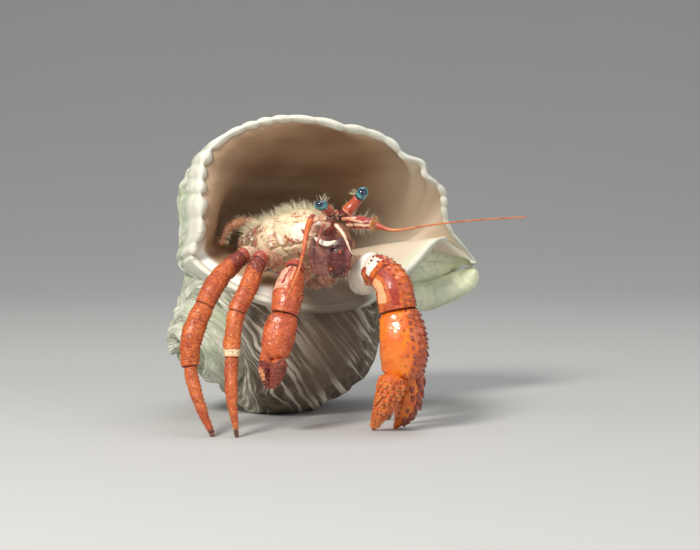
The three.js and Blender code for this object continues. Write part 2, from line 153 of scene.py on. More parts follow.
def buildObject(name, patches, material, nodes, uvName="UVMap"):
    # one mesh from the joined patches, riding the body and standing for those CAD nodes; what
    # would reach the floor is pressed up to it, by the curve b * exp(z / b - 1) below z = b
    starts = np.cumsum([0] + [len(p["points"]) for p in patches])
    points = np.vstack([p["points"] for p in patches])
    least = 0.15
    pressed = least * np.exp(np.minimum(points[:, 2] / least, 1) - 1)
    points[:, 2] = np.where(points[:, 2] < least, pressed, points[:, 2])
    quads = np.vstack([p["quads"] + s for p, s in zip(patches, starts)])
    tris = np.vstack([p["tris"] + s for p, s in zip(patches, starts)])
    uv = np.concatenate([np.vstack([p["quadUv"].reshape(-1, 2) for p in patches]),
                         np.vstack([p["triUv"].reshape(-1, 2) for p in patches])])
    mesh = bpy.data.meshes.new(name)
    mesh.vertices.add(len(points))
    mesh.vertices.foreach_set("co", ((points - planMiddle) / 1000).astype(np.float32).ravel())
    loops = np.concatenate([quads.ravel(), tris.ravel()]).astype(np.int32)
    mesh.loops.add(len(loops))
    mesh.loops.foreach_set("vertex_index", loops)
    mesh.polygons.add(len(quads) + len(tris))
    begins = np.concatenate([np.arange(len(quads)) * 4, len(quads) * 4 + np.arange(len(tris)) * 3])
    mesh.polygons.foreach_set("loop_start", begins.astype(np.int32))
    mesh.update(calc_edges=True)
    mesh.uv_layers.new(name=uvName)
    mesh.uv_layers[uvName].data.foreach_set("uv", uv.astype(np.float32).ravel())
    for field in patches[0]["fields"]:
        values = np.concatenate([p["fields"][field] for p in patches])
        layer = mesh.attributes.new(field, "FLOAT", "POINT")
        layer.data.foreach_set("value", values.astype(np.float32))
    mesh.validate()
    mesh.shade_smooth()
    mesh.materials.append(material)
    piece = bpy.data.objects.new(name, mesh)
    bpy.context.scene.collection.objects.link(piece)
    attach(piece, "root")
    if nodes:
        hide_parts(*nodes)
    return piece


def addNode(tree, kind, settings=None, **inputs):
    # a node with its settings; its inputs go by name, or by number as i0, i1 and so on
    node = tree.nodes.new(kind)
    for key, value in (settings or {}).items():
        setattr(node, key, value)
    for key, value in inputs.items():
        socket = node.inputs[int(key[1:])] if key[0] == "i" and key[1:].isdigit() else node.inputs[key]
        if isinstance(value, bpy.types.NodeSocket):
            tree.links.new(value, socket)
        else:
            socket.default_value = value
    return node


def maths(tree, operation, a, b=0.0):
    return addNode(tree, "ShaderNodeMath", {"operation": operation}, i0=a, i1=b).outputs[0]


def times(tree, *values):
    # the product of all the values
    product = values[0]
    for value in values[1:]:
        product = maths(tree, "MULTIPLY", product, value)
    return product


def remap(tree, value, low, high, toLow=0.0, toHigh=1.0):
    # a smooth step from toLow at low to toHigh at high
    node = addNode(tree, "ShaderNodeMapRange", {"interpolation_type": "SMOOTHSTEP"}, i0=value, i1=low,
                   i2=high, i3=toLow, i4=toHigh)
    return node.outputs[0]


def window(tree, value, low, high, soft):
    # 1 between low and high, fading to 0 over soft on either side
    rise = remap(tree, value, low - soft, low + soft)
    fall = remap(tree, value, high - soft, high + soft, 1.0, 0.0)
    return times(tree, rise, fall)


def blend(tree, mask, a, b):
    # colour a where the mask is 0 and b where it is 1
    node = tree.nodes.new("ShaderNodeMix")
    node.data_type = "RGBA"
    node.clamp_result = True
    for socket, value in ((node.inputs[0], mask), (node.inputs[6], a), (node.inputs[7], b)):
        if isinstance(value, bpy.types.NodeSocket):
            tree.links.new(value, socket)
        elif socket.type == "RGBA":
            socket.default_value = (*value[:3], 1)
        else:
            socket.default_value = value
    return node.outputs[2]


def noiseMask(tree, vector, scale, low, high, detail=4.0):
    # noise of that scale, 0 where it is below low and 1 where it is above high
    node = addNode(tree, "ShaderNodeTexNoise", None, Vector=vector, Scale=scale, Detail=detail,
                   Roughness=0.55)
    return remap(tree, node.outputs[0], low, high)


def attribute(tree, name):
    return addNode(tree, "ShaderNodeAttribute", {"attribute_name": name}).outputs["Fac"]


def newMaterial(name, roughness, coat=0.0, subsurface=0.0):
    material = bpy.data.materials.new(name)
    material.use_nodes = True
    tree = material.node_tree
    shader = tree.nodes["Principled BSDF"]
    shader.inputs["Roughness"].default_value = roughness
    shader.inputs["Coat Weight"].default_value = coat
    shader.inputs["Coat Roughness"].default_value = 0.15
    if subsurface:
        shader.inputs["Subsurface Weight"].default_value = subsurface
        shader.inputs["Subsurface Radius"].default_value = (0.0012, 0.0005, 0.0003)
        shader.inputs["Subsurface Scale"].default_value = 1.0
    return material, tree, shader


def bumpInto(tree, shader, height, distance, strength):
    node = addNode(tree, "ShaderNodeBump", None, Strength=strength, Distance=distance, Height=height)
    tree.links.new(node.outputs[0], shader.inputs["Normal"])


def grainGroup():
    # shared surface grain: two sizes of noise mixed to a height and a mask
    group = bpy.data.node_groups.new("grain", "ShaderNodeTree")
    for name, kind in (("Vector", "NodeSocketVector"), ("Scale", "NodeSocketFloat"),
                       ("Fineness", "NodeSocketFloat")):
        group.interface.new_socket(name=name, in_out="INPUT", socket_type=kind)
    for name in ("Height", "Mask"):
        group.interface.new_socket(name=name, in_out="OUTPUT", socket_type="NodeSocketFloat")
    start = group.nodes.new("NodeGroupInput")
    end = group.nodes.new("NodeGroupOutput")
    broad = addNode(group, "ShaderNodeTexNoise", None, Vector=start.outputs[0],
                    Scale=start.outputs[1], Detail=3.0)
    fineScale = maths(group, "MULTIPLY", start.outputs[1], start.outputs[2])
    fine = addNode(group, "ShaderNodeTexNoise", None, Vector=start.outputs[0], Scale=fineScale,
                   Detail=5.0, Roughness=0.6)
    half = maths(group, "MULTIPLY", fine.outputs[0], 0.5)
    total = maths(group, "ADD", half, broad.outputs[0])
    group.links.new(total, end.inputs[0])
    group.links.new(remap(group, total, 0.62, 0.9), end.inputs[1])
    return group


grain = grainGroup()


def grainNode(tree, vector, scale, fineness=4.0):
    # the shared grain placed in a material: its height and its mask
    node = tree.nodes.new("ShaderNodeGroup")
    node.node_tree = grain
    tree.links.new(vector, node.inputs[0])
    node.inputs[1].default_value = scale
    node.inputs[2].default_value = fineness
    return node.outputs[0], node.outputs[1]


# The shell: sections of one shape, each turned and scaled along the coil, that open into the
# flared mouth. Angles are in degrees and sizes in millimetres. A layer of streaks has its scale
# across and along the coil, its detail and its weight.

shellLook = {
    "growthPerTurn": 1.95, "mouthAngle": 40.0, "axisYaw": 28.0, "axisTilt": 14.4,
    "flareSweep": 85.0, "collarSweep": 16.0, "cavityDepth": -250.0, "narrowing": 0.12,
    "knobsPerTurn": 9, "knobHeight": 4.6, "knobPhase": 20.0,
    "ribs": 44, "ribHeight": 0.26, "coarseRibs": 15, "coarseHeight": 0.55, "growthHeight": 0.25,
    "lipHalf": 1.1, "lipScallops": 36, "beadDepth": 2.3, "fluteDepth": 0.7,
    "folds": 14, "foldDepth": 1.0,
    "drift": 0.085, "streakLayers": [(95.0, 0.8, 3.0, 0.62), (30.0, 1.5, 2.0, 0.38)],
    "chalk": (0.68, 0.68, 0.58), "greenish": (0.45, 0.50, 0.36), "dark": (0.085, 0.060, 0.038),
    "dusk": (0.165, 0.120, 0.080), "streak": (0.66, 0.61, 0.50), "spout": (0.82, 0.84, 0.58),
    "mouthBrown": (0.48, 0.315, 0.19), "mouthDeep": (0.34, 0.21, 0.122),
    "mouthTan": (0.75, 0.63, 0.48), "canal": (0.80, 0.82, 0.60), "lipCream": (0.82, 0.80, 0.68),
    "callus": (0.92, 0.91, 0.84),
}
shellLines = {
    "apex": (-45.5, -3, 20.2),
    "outerSection": [(26, 31), (34.5, 30.5), (43, 39.5), (46.8, 52), (47, 65), (44.8, 79),
                     (40.5, 91), (32.5, 100), (21, 106), (10, 109), (6, 105), (5, 93), (5, 77),
                     (5.5, 61), (9, 47), (18, 37)],
    "innerSection": [(28.5, 36), (34, 33.8), (40.5, 41.5), (44.2, 53), (44.2, 64.5), (41, 77.3),
                     (34.5, 88.8), (25.5, 97), (16, 102.5), (11.5, 103.5), (10.5, 99), (10.5, 89),
                     (12.5, 75), (18, 61), (25, 49.5), (28.7, 41)],
    "sectionMiddle": (28, 65),
    "lip": [(-35, -9, 45.5), (-33.5, -14, 55.5), (-33.5, -14, 66), (-32, -12, 76), (-23.5, -10, 83),
            (-10, -6, 86.5), (4.5, 0, 85), (17.5, 8, 80.5), (28.5, 16, 74), (36, 24, 64.5),
            (39, 31, 54), (47, 40, 43.5), (36, 30, 51), (25, 20, 41.5), (7.5, -7, 33),
            (-15, -18, 35.5)],
    "collar": [(-39, 4, 43), (-39.6, 1, 53), (-38.5, -2, 66), (-35, 0, 75.5), (-25, 2, 82.5),
               (-10.5, 8, 86), (4.5, 14, 84.5), (17.5, 20, 79.5), (28, 28, 72.5), (35, 35, 63),
               (38, 40, 53.5), (46.5, 46, 42), (35.5, 38, 48.5), (24, 28, 38.5), (7, 2, 31),
               (-16.5, -8, 33)],
}
# The two round ridges under the canal: a line and the radius along it.
shellRidges = {
    "fasciole": ([(48, 43.5, 41), (43.7, 46, 36.5), (35.8, 45, 33.5), (26.8, 41, 32), (19, 36, 30.5)],
                 [2.6, 4, 4.6, 4.6, 4.2]),
    "pillar": ([(45.5, 49.5, 44), (39, 50.5, 44), (29, 46.5, 43), (19, 40, 43)],
               [2.4, 5.6, 7.4, 7.6]),
}


def shellAxes():
    yaw, tilt = np.radians(shellLook["axisYaw"]), np.radians(shellLook["axisTilt"])
    axis = np.array([np.cos(yaw) * np.cos(tilt), np.sin(yaw) * np.cos(tilt), np.sin(tilt)])
    axisUp = unit(upward - axis * axis[2])
    return axis, axisUp, np.cross(axis, axisUp)


def coiled(angles, share, section):
    # one row per angle: the section at distance z along the axis and r from it, turned by the angle
    # round the axis and scaled by growth ** (angle / full turn)
    axis, axisUp, axisFront = shellAxes()
    scale = (shellLook["growthPerTurn"] ** (angles / (2 * np.pi)))[:, None, None]
    around = np.radians(shellLook["mouthAngle"]) + angles
    spoke = np.cos(around)[:, None] * axisUp + np.sin(around)[:, None] * axisFront
    at = catmull(section, share, True)
    return np.array(shellLines["apex"]) + scale * (at[None, :, 1:2] * axis
                                                   + at[None, :, 0:1] * spoke[:, None, :])


def shellRelief(angles, share):
    # Blunt knobs on the shoulder and ribs along the coil, both growing with the shell. A knob is a
    # bell over turn and share, and a rib is a cosine of the share, shifted as the coil turns.
    look = shellLook
    scale = look["growthPerTurn"] ** (angles / (2 * np.pi))
    turn = (angles - np.radians(look["knobPhase"])) / (2 * np.pi) * look["knobsPerTurn"]
    near = (turn - np.round(turn)) / 0.2
    fade = smooth(-angles, np.radians(10), np.radians(35))
    knob = np.exp(-near ** 2)[:, None] * np.exp(-((share - 0.115) / 0.035) ** 2)[None]
    outside = smooth(-share, -0.66, -0.58)
    shifted = share[None] + 0.006 * np.sin(7 * angles + 2.0)[:, None] - 0.016 * angles[:, None]
    coarse = look["coarseHeight"] * np.cos(2 * np.pi * look["coarseRibs"] * shifted) * outside
    fine = look["ribHeight"] * np.cos(2 * np.pi * look["ribs"] * shifted) * outside
    return scale[:, None] * fade[:, None] * (look["knobHeight"] * knob + coarse + fine)


def lipBeads(share):
    # Beads along the lip, abs(sin(pi * phase)) ** 0.8: round ones down its left side and low flutes
    # over the top, uneven throughout. Returned with the mask of the left side.
    look = shellLook
    wander = 0.35 * np.sin(2 * np.pi * 3 * share + 1) + 0.25 * np.sin(2 * np.pi * 7 * share)
    phase = share * look["lipScallops"] + wander
    bead = np.abs(np.sin(np.pi * phase)) ** 0.8 - 0.55
    uneven = 1 + 0.4 * np.sin(2 * np.pi * 11 * share + 0.6)
    left = smooth(-share, -0.235, -0.175) * smooth(share, 0.0, 0.02)
    top = smooth(share, 0.19, 0.25) * smooth(-share, -0.68, -0.62)
    return uneven * bead * (look["beadDepth"] * left + look["fluteDepth"] * top), left


def lipFolds(share):
    # slow uneven waves, cosines of the share, of the whole lip over its right side
    right = smooth(share, 0.34, 0.44) * smooth(-share, -0.64, -0.58)
    phase = shellLook["folds"] * share + 0.25 * np.sin(37 * share)
    return shellLook["foldDepth"] * np.cos(2 * np.pi * phase) * right


def buildShell():
    # one grid of rings: the whorls from the apex to the lip, the lip's rounded edge, and the inside
    # from the lip back into the coil
    look = shellLook
    around = 440
    share = np.arange(around) / around
    lip = catmull(shellLines["lip"], share, True)
    out = unit(lip - np.mean(np.array(shellLines["lip"], float), axis=0))
    lip = lip + lipFolds(share)[:, None] * out
    flare, collar = np.radians(look["flareSweep"]), np.radians(look["collarSweep"])
    turns = np.radians(np.concatenate([
        np.arange(-1260, -480, 6.0), np.arange(-480, -90, 2.4), np.arange(-90, -16, 1.5),
        np.arange(-16, 0, 1.0), [0.0]]))
    outer = coiled(turns, share, shellLines["outerSection"])
    towards = smooth((turns + flare) / (flare - collar))[:, None, None]
    collarEdge = catmull(shellLines["collar"], share, True) + look["lipHalf"] * out
    outer = outer * (1 - towards) + collarEdge * towards
    outer = outer + shellRelief(turns, share)[..., None] * out
    beads, left = lipBeads(share)
    thick = look["lipHalf"] * (1 + 0.5 * left)
    last = (np.clip((turns + collar) / collar, 0, 1) ** 0.8)[:, None, None]
    outerBeads = beads * (1 - 0.5 * left)
    edge = lip + (look["lipHalf"] + 0.7 * outerBeads[:, None]) * out
    outer = outer * (1 - last) + edge * last
    flute = smooth(turns, -0.62, -0.1)[:, None] * (1 - last[:, :, 0])
    outer = outer + (0.75 * outerBeads * flute)[..., None] * out
    cells = np.stack(np.broadcast_arrays(turns[:, None] * 9, share * 6, 0.0), -1)
    growth = noise(cells, 1.0, 4) + 0.6 * noise(cells * 2.7, 1.0, 5)
    growth = look["growthHeight"] * growth * smooth(-turns, 0.05, 0.3)[:, None]
    outer = outer + growth[..., None] * out
    # the lip's rounded edge, facing the way the mouth opens
    opening = unit(np.cross(np.roll(lip, -6, 0) - np.roll(lip, 6, 0), out))
    opening = opening * np.sign((opening @ np.array([0.1, -0.9, 0.25])).sum())
    bend = np.radians(np.array([30.0, 55.0, 75.0, 90.0, 105.0, 125.0, 150.0]))[:, None, None]
    rounded = lip + look["lipHalf"] * np.cos(bend) * out + 0.8 * thick[:, None] * np.sin(bend) * opening
    inward = smooth(bend, 0.4, 1.3)
    mixed = outerBeads[:, None] * (1 - inward) + beads[:, None] * inward
    rounded = rounded + mixed * (0.7 * np.cos(bend) * out + 0.5 * np.sin(bend) * opening)
    back = np.radians(np.concatenate([np.arange(0, -20, -1.6), np.arange(-20, -90, -4.0),
                                      np.arange(-90, look["cavityDepth"] - 1, -6.0)]))
    inner = coiled(back, share, shellLines["innerSection"])
    centre = coiled(back, share * 0, [shellLines["sectionMiddle"]] * 4)
    narrower = look["narrowing"] * smooth(-back, np.pi / 2, np.pi)[:, None, None]
    inner = inner + narrower * (centre - inner)
    towards = smooth((back + flare) / flare)[:, None, None]
    edge = lip - look["lipHalf"] * out
    inner = inner * (1 - towards) + edge * towards
    nearEdge = smooth(back, np.radians(-17), 0)[:, None, None]
    inner = inner - nearEdge * (0.8 * beads)[:, None] * out
    grid = np.concatenate([outer, rounded, inner])
    coil = np.concatenate([turns, np.zeros(len(rounded)), back])
    rising = smooth(np.arange(len(rounded)) / len(rounded))
    inside = np.concatenate([np.zeros(len(outer)), rising, np.ones(len(inner))])
    whorls = tubePatch(grid, {"inside": inside[:, None], "turn": coil[:, None]}, flip=False)
    ridges = [ropePatch(line, radii) for line, radii in shellRidges.values()]
    buildObject("shell_skin", [whorls, *ridges], shellMaterial(), ["shell"])
    print("stage: shell")


def ropePatch(line, radii):
    # a round ridge: circles of those radii along the line, rounded off at both ends and made uneven
    # by low growth scales
    rows, around = 90, 48
    t = np.linspace(0, 1, rows)
    middle = catmull(line, t)
    radius = catmull(radii, t)[:, 0] * np.sqrt(np.clip(1 - (2 * t - 1) ** 6, 0.0004, 1))
    along = unit(np.gradient(middle, axis=0))
    deep = unit(backward - (along @ backward)[:, None] * along)
    wide = np.cross(deep, along)
    a = np.linspace(0, 2 * np.pi, around, endpoint=False)
    growth = 0.04 * np.sin(t * 83 + 2 * np.sin(t * 11))[:, None]
    growth = growth + 0.20 * np.sin(t[:, None] * 21 + 1.6 * np.sin(a + 1)) * np.sin(t[:, None] * 9)
    radius = radius[:, None] + growth + 0.14 * np.sin(3 * a + 5 * t[:, None])
    grid = middle[:, None] + radius[..., None] * (np.cos(a)[None, :, None] * wide[:, None]
                                                 + np.sin(a)[None, :, None] * deep[:, None])
    return tubePatch(grid, {"inside": 0.0, "turn": -1.6})


# Where the shell's colours lie. A range of three is an axis and where its mask is 0 and 1; one of
# four is an axis, the two ends between which it is 1, and how softly it fades there. The axes are
# x, y and z in metres, share round the section, turn along the coil in radians, edge (the turn with
# a wavy border) and slant, which is x less 0.45 z.
shellPlaces = {
    # the dark streaked ground is partly the shell's own streaks and partly painted shade, which grows
    # towards the right
    "streakedGroundAndShade": [("turn", -6.35, -3.0, 0.35)],
    "paintedShadeRightward": [("x", -0.037, -0.022)],
    "spout": [("x", 0.016, 0.026), ("turn", -2.2, 2.0, 0.3), ("z", 0.056, 0.048)],
    "glazed": [("z", 0.040, 0.045), ("y", -0.008, -0.002), ("turn", -7.0, -4.6, 0.2)],
    # partly painted light: the lining turns to light tan towards the lit right side of the mouth
    "tanAndLitRight": [("slant", -0.028, -0.006)],
    "canal": [("share", 0.60, 0.83, 0.03), ("edge", -0.42, -0.12)],
    "cornerEnd": [("share", 0.84, 0.90)],
    "cornerStart": [("share", 0.05, 0.01)],
    "callus": [("x", -0.016, -0.024), ("edge", -0.40, -0.28)],
    "lip": [("edge", -0.07, -0.02)],
    "rim": [("edge", -0.17, 1.0, 0.06)],
    # painted shade: dusk low on the front of the shell, below the crab's chest
    "paintedShadeBelowCrab": [("x", -0.013, 0.012, 0.006), ("z", 0.046, 0.038), ("y", 0.004, -0.004)],
}


def shellMask(tree, at, name):
    # the product of the ranges that shellPlaces has under that name
    masks = [(window if len(ends) == 3 else remap)(tree, at[axis], *ends)
             for axis, *ends in shellPlaces[name]]
    return times(tree, *masks)


def shellSockets(tree):
    # the sockets that the shell's colours are placed by
    uv = addNode(tree, "ShaderNodeUVMap", {"uv_map": "UVMap"}).outputs[0]
    place = addNode(tree, "ShaderNodeTexCoord").outputs["Object"]
    x, y, z = addNode(tree, "ShaderNodeSeparateXYZ", None, i0=place).outputs
    share = addNode(tree, "ShaderNodeSeparateXYZ", None, i0=uv).outputs[0]
    slant = maths(tree, "SUBTRACT", x, times(tree, z, 0.45))
    return {"place": place, "x": x, "y": y, "z": z, "slant": slant, "share": share,
            "inside": attribute(tree, "inside"), "turn": attribute(tree, "turn")}


def shellStreaks(tree, at):
    # layers of noise drawn out along the coil and drifting across it, weighted and added
    drift = maths(tree, "SUBTRACT", at["share"], times(tree, at["turn"], shellLook["drift"]))
    layers = []
    for across, along, detail, weight in shellLook["streakLayers"]:
        drawn = addNode(tree, "ShaderNodeCombineXYZ", None, i0=times(tree, drift, across),
                        i1=times(tree, at["turn"], along)).outputs[0]
        layer = addNode(tree, "ShaderNodeTexNoise", None, Vector=drawn, Scale=1.0, Detail=detail,
                        Roughness=0.5).outputs[0]
        layers.append(times(tree, layer, weight))
    return maths(tree, "ADD", *layers)


def outsideColour(tree, at, patches, streaks, plain):
    # chalk with green patches; over part of the body whorl the shell's own dark ground with pale streaks,
    # darkened as painted shade and more so towards the right; and the pale spout
    look = shellLook
    mottle = noiseMask(tree, at["place"], 300.0, 0.38, 0.62)
    ground = blend(tree, mottle, look["dark"], look["dusk"])
    pale = times(tree, remap(tree, streaks, 0.485, 0.58), plain)
    ground = blend(tree, pale, ground, look["streak"])
    colour = blend(tree, patches, look["chalk"], look["greenish"])
    darker = times(tree, remap(tree, streaks, 0.52, 0.42), 0.35)
    colour = blend(tree, darker, colour, look["dusk"])
    # painted shade: the dark ground goes on at a quarter strength on the left and at full strength
    # towards the right
    strength = maths(tree, "ADD", 0.25, times(tree, shellMask(tree, at, "paintedShadeRightward"), 0.75))
    colour = blend(tree, times(tree, shellMask(tree, at, "streakedGroundAndShade"), strength), colour, ground)
    spout = times(tree, shellMask(tree, at, "spout"), remap(tree, patches, 0.0, 1.0, 0.95, 0.5))
    return blend(tree, spout, colour, look["spout"])


def mouthColour(tree, at, bands):
    # banded brown; tan towards the canal, partly the lining's own tone and partly painted light on the
    # lit right side of the mouth; pale green in the canal, white at the callus and cream at the lip
    look = shellLook
    mouth = blend(tree, remap(tree, bands, 0.35, 0.7), look["mouthBrown"], look["mouthDeep"])
    mouth = blend(tree, shellMask(tree, at, "tanAndLitRight"), mouth, look["mouthTan"])
    mouth = blend(tree, times(tree, shellMask(tree, at, "canal"), 0.8), mouth, look["canal"])
    corner = maths(tree, "MAXIMUM", shellMask(tree, at, "cornerEnd"),
                   shellMask(tree, at, "cornerStart"))
    corner = times(tree, corner, shellMask(tree, at, "callus"))
    mouth = blend(tree, corner, mouth, look["callus"])
    return blend(tree, shellMask(tree, at, "lip"), mouth, look["lipCream"])


def shellMaterial():
    # The outside, the lining of the mouth over it, cream on the rim and dusk as painted shade low on the
    # front below the crab. Grain and streaks raise the outside, and the streaks fade out towards its
    # plain right part.
    look = shellLook
    material, tree, shader = newMaterial("shellChalk", 0.62)
    at = shellSockets(tree)
    height, patches = grainNode(tree, at["place"], 120.0, 5.0)
    streaks = shellStreaks(tree, at)
    plain = remap(tree, at["x"], 0.005, 0.012, 1.0, 0.22)
    drawn = addNode(tree, "ShaderNodeVectorMath", {"operation": "MULTIPLY"}, i0=at["place"],
                    i1=(40.0, 40.0, 160.0)).outputs[0]
    bands = addNode(tree, "ShaderNodeTexNoise", None, Vector=drawn, Scale=1.0, Detail=3.0).outputs[0]
    wavy = times(tree, maths(tree, "SUBTRACT", bands, 0.5), 0.10)
    at["edge"] = maths(tree, "ADD", at["turn"], wavy)
    lined = maths(tree, "MAXIMUM", at["inside"], shellMask(tree, at, "glazed"))
    colour = blend(tree, lined, outsideColour(tree, at, patches, streaks, plain),
                   mouthColour(tree, at, bands))
    outward = maths(tree, "SUBTRACT", 1.0, times(tree, at["inside"], 0.9))
    colour = blend(tree, times(tree, shellMask(tree, at, "rim"), outward, 0.8), colour,
                   look["lipCream"])
    # painted shade where the crab shades the shell
    colour = blend(tree, times(tree, shellMask(tree, at, "paintedShadeBelowCrab"), 0.85), colour, look["dusk"])
    tree.links.new(colour, shader.inputs["Base Color"])
    tree.links.new(remap(tree, at["inside"], 0.0, 1.0, 0.66, 0.42), shader.inputs["Roughness"])
    grooves = times(tree, streaks, plain, 1.5)
    ridges = times(tree, maths(tree, "ADD", grooves, height), outward)
    bumpInto(tree, shader, ridges, 0.0006, 0.6)
    return material


buildShell()


# A limb is one smooth path cut into segments. Each segment is a tube swept along its share of the
# path, oval in section: it starts narrow inside the one before, swells and ends in a collar.


def lengthAlong(line):
    steps = np.linalg.norm(np.diff(line, axis=0), axis=1)
    return np.concatenate([[0.0], np.cumsum(steps)])


def sweep(points, half, first=0, end=None, flat=0.9, rows=70, around=48, depth=backward,
          startRound=1.6, endRound=0.5, startLeast=0.72, endLeast=0.9, lift=None):
    # Rings square to the path, crowded towards its ends: half width across it and half * flat along
    # the depth. lift(s, a, half) adds a height in millimetres at distance s along and angle a round.
    points = np.asarray(points, float)
    spans = len(points) - 1
    end = spans if end is None else end
    fine = np.linspace(first / spans, end / spans, 600)
    length = lengthAlong(catmull(points, fine))
    whole = length[-1]
    even = np.linspace(0, 1, rows)
    s = whole * (0.45 * even + 0.55 * (0.5 - 0.5 * np.cos(np.pi * even)))
    t = np.interp(s, length, fine)
    middle = catmull(points, t)
    ahead = catmull(points, np.clip(t + 1e-3, 0, 1))
    behind = catmull(points, np.clip(t - 1e-3, 0, 1))
    along = unit(ahead - behind)
    depth = np.asarray(depth, float)
    deep = unit(depth - (along @ depth)[:, None] * along)
    wide = np.cross(deep, along)
    inside = (t * spans - first) / (end - first)
    radius = catmull(half, inside)[:, 0]
    for distance, reach, least in ((s, startRound, startLeast), (whole - s, endRound, endLeast)):
        x = np.clip(distance / max(reach, 1e-3), 0, 1)
        radius = radius * np.sqrt(least ** 2 + (1 - least ** 2) * (1 - (1 - x) ** 2))
    a = np.linspace(0, 2 * np.pi, around, endpoint=False)
    spoke = np.cos(a)[None, :, None] * wide[:, None] + flat * np.sin(a)[None, :, None] * deep[:, None]
    grid = middle[:, None] + radius[:, None, None] * spoke
    if lift is not None:
        height = lift(s[:, None], a[None, :], radius[:, None])
        fade = smooth(s, 0, 0.8) * smooth(whole - s, 0, 0.4)
        grid = grid + (height * fade[:, None])[..., None] * outwardNormals(grid)
    return {"grid": grid, "s": s, "whole": whole, "middle": middle, "along": along}


def platePatch(piece, flip=None):
    # the swept grid as a closed skin, its v the true share of the length
    patch = tubePatch(piece["grid"], {"tip": 0.0}, flip)
    share = piece["s"] / piece["whole"]
    rows = len(share)
    patch["quadUv"][..., 1] = np.interp(patch["quadUv"][..., 1], np.linspace(0, 1, rows), share)
    return patch


def surfaceAt(piece, s, a):
    # point, outward normal and forward direction at distance s along a swept piece, angle a round it
    grid = piece["grid"]
    normals = outwardNormals(grid)
    rows, around = grid.shape[:2]
    row = np.interp(s, piece["s"], np.arange(rows))
    column = (a / (2 * np.pi) * around) % around
    i, j = np.minimum(row.astype(int), rows - 2), column.astype(int) % around
    fi, fj = (row - i)[:, None], (column - column.astype(int))[:, None]
    k = (j + 1) % around

    def mix(field):
        return ((field[i, j] * (1 - fj) + field[i, k] * fj) * (1 - fi)
                + (field[i + 1, j] * (1 - fj) + field[i + 1, k] * fj) * fi)
    return mix(grid), unit(mix(normals)), piece["along"][i]


def ringPoints(s, a, radius):
    # points round a cylinder of that radius, so that noise meets itself all round
    return np.stack(np.broadcast_arrays(s, radius * np.cos(a), radius * np.sin(a)), -1)


def uneven(seed):
    # low lumps, fine noise and broad noise added
    def lift(s, a, radius):
        q = ringPoints(s, a, radius)
        return 0.07 * noise(q, 0.45, seed + 2) + 0.16 * noise(q, 2.2, seed + 3)
    return lift


def striae(perMm, height, seed):
    # short cross ridges: a saw tooth along the segment, shifted and broken by noise, over lumps
    lumps = uneven(seed)

    def lift(s, a, radius):
        q = ringPoints(s, a, radius)
        saw = (s * perMm + 1.32 * noise(q, 1.5, seed)) % 1.0
        there = smooth(noise(q, 0.9, seed + 1), -0.2, 0.25)
        return height * (1 - saw) ** 2 * there + lumps(s, a, radius)
    return lift


def bumpField(centres, size, height):
    # rounded warts: a bell of that size and height over each centre (distance along, angle)
    centres = np.asarray(centres, float)

    def lift(s, a, radius):
        total = 0.0
        for i in range(0, len(centres), 12):
            c = centres[i:i + 12]
            ds = s[..., None] - c[:, 0]
            da = (a[..., None] - c[:, 1] + np.pi) % (2 * np.pi) - np.pi
            near = (ds ** 2 + (da * radius[..., None]) ** 2) / size ** 2
            total = total + (height * np.exp(-near)).sum(-1)
        return total
    return lift


def together(*lifts):
    # the sum of several lifts
    def lift(s, a, radius):
        return sum(one(s, a, radius) for one in lifts)
    return lift


def spikePatch(points, directions, lie, length, radius, levels, widths, bend, sides=7, sunk=0.25,
               flat=1.0, tipStart=0.45):
    # Many spikes at once, each a stack of rings and a point. The axis is
    # root + length * (t * direction + bend * t * abs(t) * lie), the width radius * widths[t].
    # Field tip rises from 0 to 1 at the point, and field shade is one random value per spike.
    count = len(points)
    length = np.broadcast_to(np.asarray(length, float), (count,))[:, None, None]
    radius = np.broadcast_to(np.asarray(radius, float), (count,))[:, None, None]
    directions = unit(directions)
    lie = unit(lie - (lie * directions).sum(-1, keepdims=True) * directions + 1e-6)
    across = np.cross(directions, lie)
    a = np.linspace(0, 2 * np.pi, sides, endpoint=False)
    ring = (np.cos(a)[None, :, None] * across[:, None]
            + flat * np.sin(a)[None, :, None] * lie[:, None])
    base, up, over = points[:, None], directions[:, None], lie[:, None]
    rings = [base + length * (t * up + bend * t * abs(t) * over) + ring * radius * w
             for t, w in zip((-sunk, *levels), (widths[0], *widths))]
    tip = base + length * (up + bend * over)
    foot = base - length * sunk * up
    verts = np.concatenate([*rings, tip, foot], axis=1)
    per, last = verts.shape[1], len(levels)
    j = np.arange(sides)
    k = (j + 1) % sides
    quads = np.concatenate([np.stack([r * sides + j, r * sides + k, (r + 1) * sides + k,
                                      (r + 1) * sides + j], -1) for r in range(last)])
    top, bottom = (last + 1) * sides, (last + 1) * sides + 1
    tris = np.concatenate([np.stack([last * sides + j, last * sides + k, 0 * j + top], -1),
                           np.stack([k, j, 0 * j + bottom], -1)])
    shift = (np.arange(count) * per)[:, None, None]
    heights = np.clip((np.array([0.0, *levels]) - tipStart) / (1 - tipStart), 0, 1)
    tipField = np.concatenate([np.repeat(heights, sides), [1.0, 0.0]])
    shade = np.random.default_rng(count).uniform(0, 1, count)
    return {"points": verts.reshape(-1, 3), "quads": (quads + shift).reshape(-1, 4),
            "tris": (tris + shift).reshape(-1, 3),
            "quadUv": np.full((count * len(quads), 4, 2), 0.5),
            "triUv": np.full((count * len(tris), 3, 2), 0.5),
            "fields": {"tip": np.tile(tipField, count), "shade": np.repeat(shade, per)},
            "perQuad": len(quads), "perTri": len(tris)}


def spines(piece, s, a, length, radius, lean=0.5, seed=1):
    # short cones standing on a swept piece, leaning towards its far end
    random = np.random.default_rng(seed)
    s, a = np.asarray(s, float), np.asarray(a, float)
    points, normals, ahead = surfaceAt(piece, s, a)
    size = random.uniform(0.75, 1.2, len(s))
    return spikePatch(points, normals + lean * ahead, ahead, length * size, radius * size,
                      (0.0, 0.55), (1.0, 0.52), 0.12)


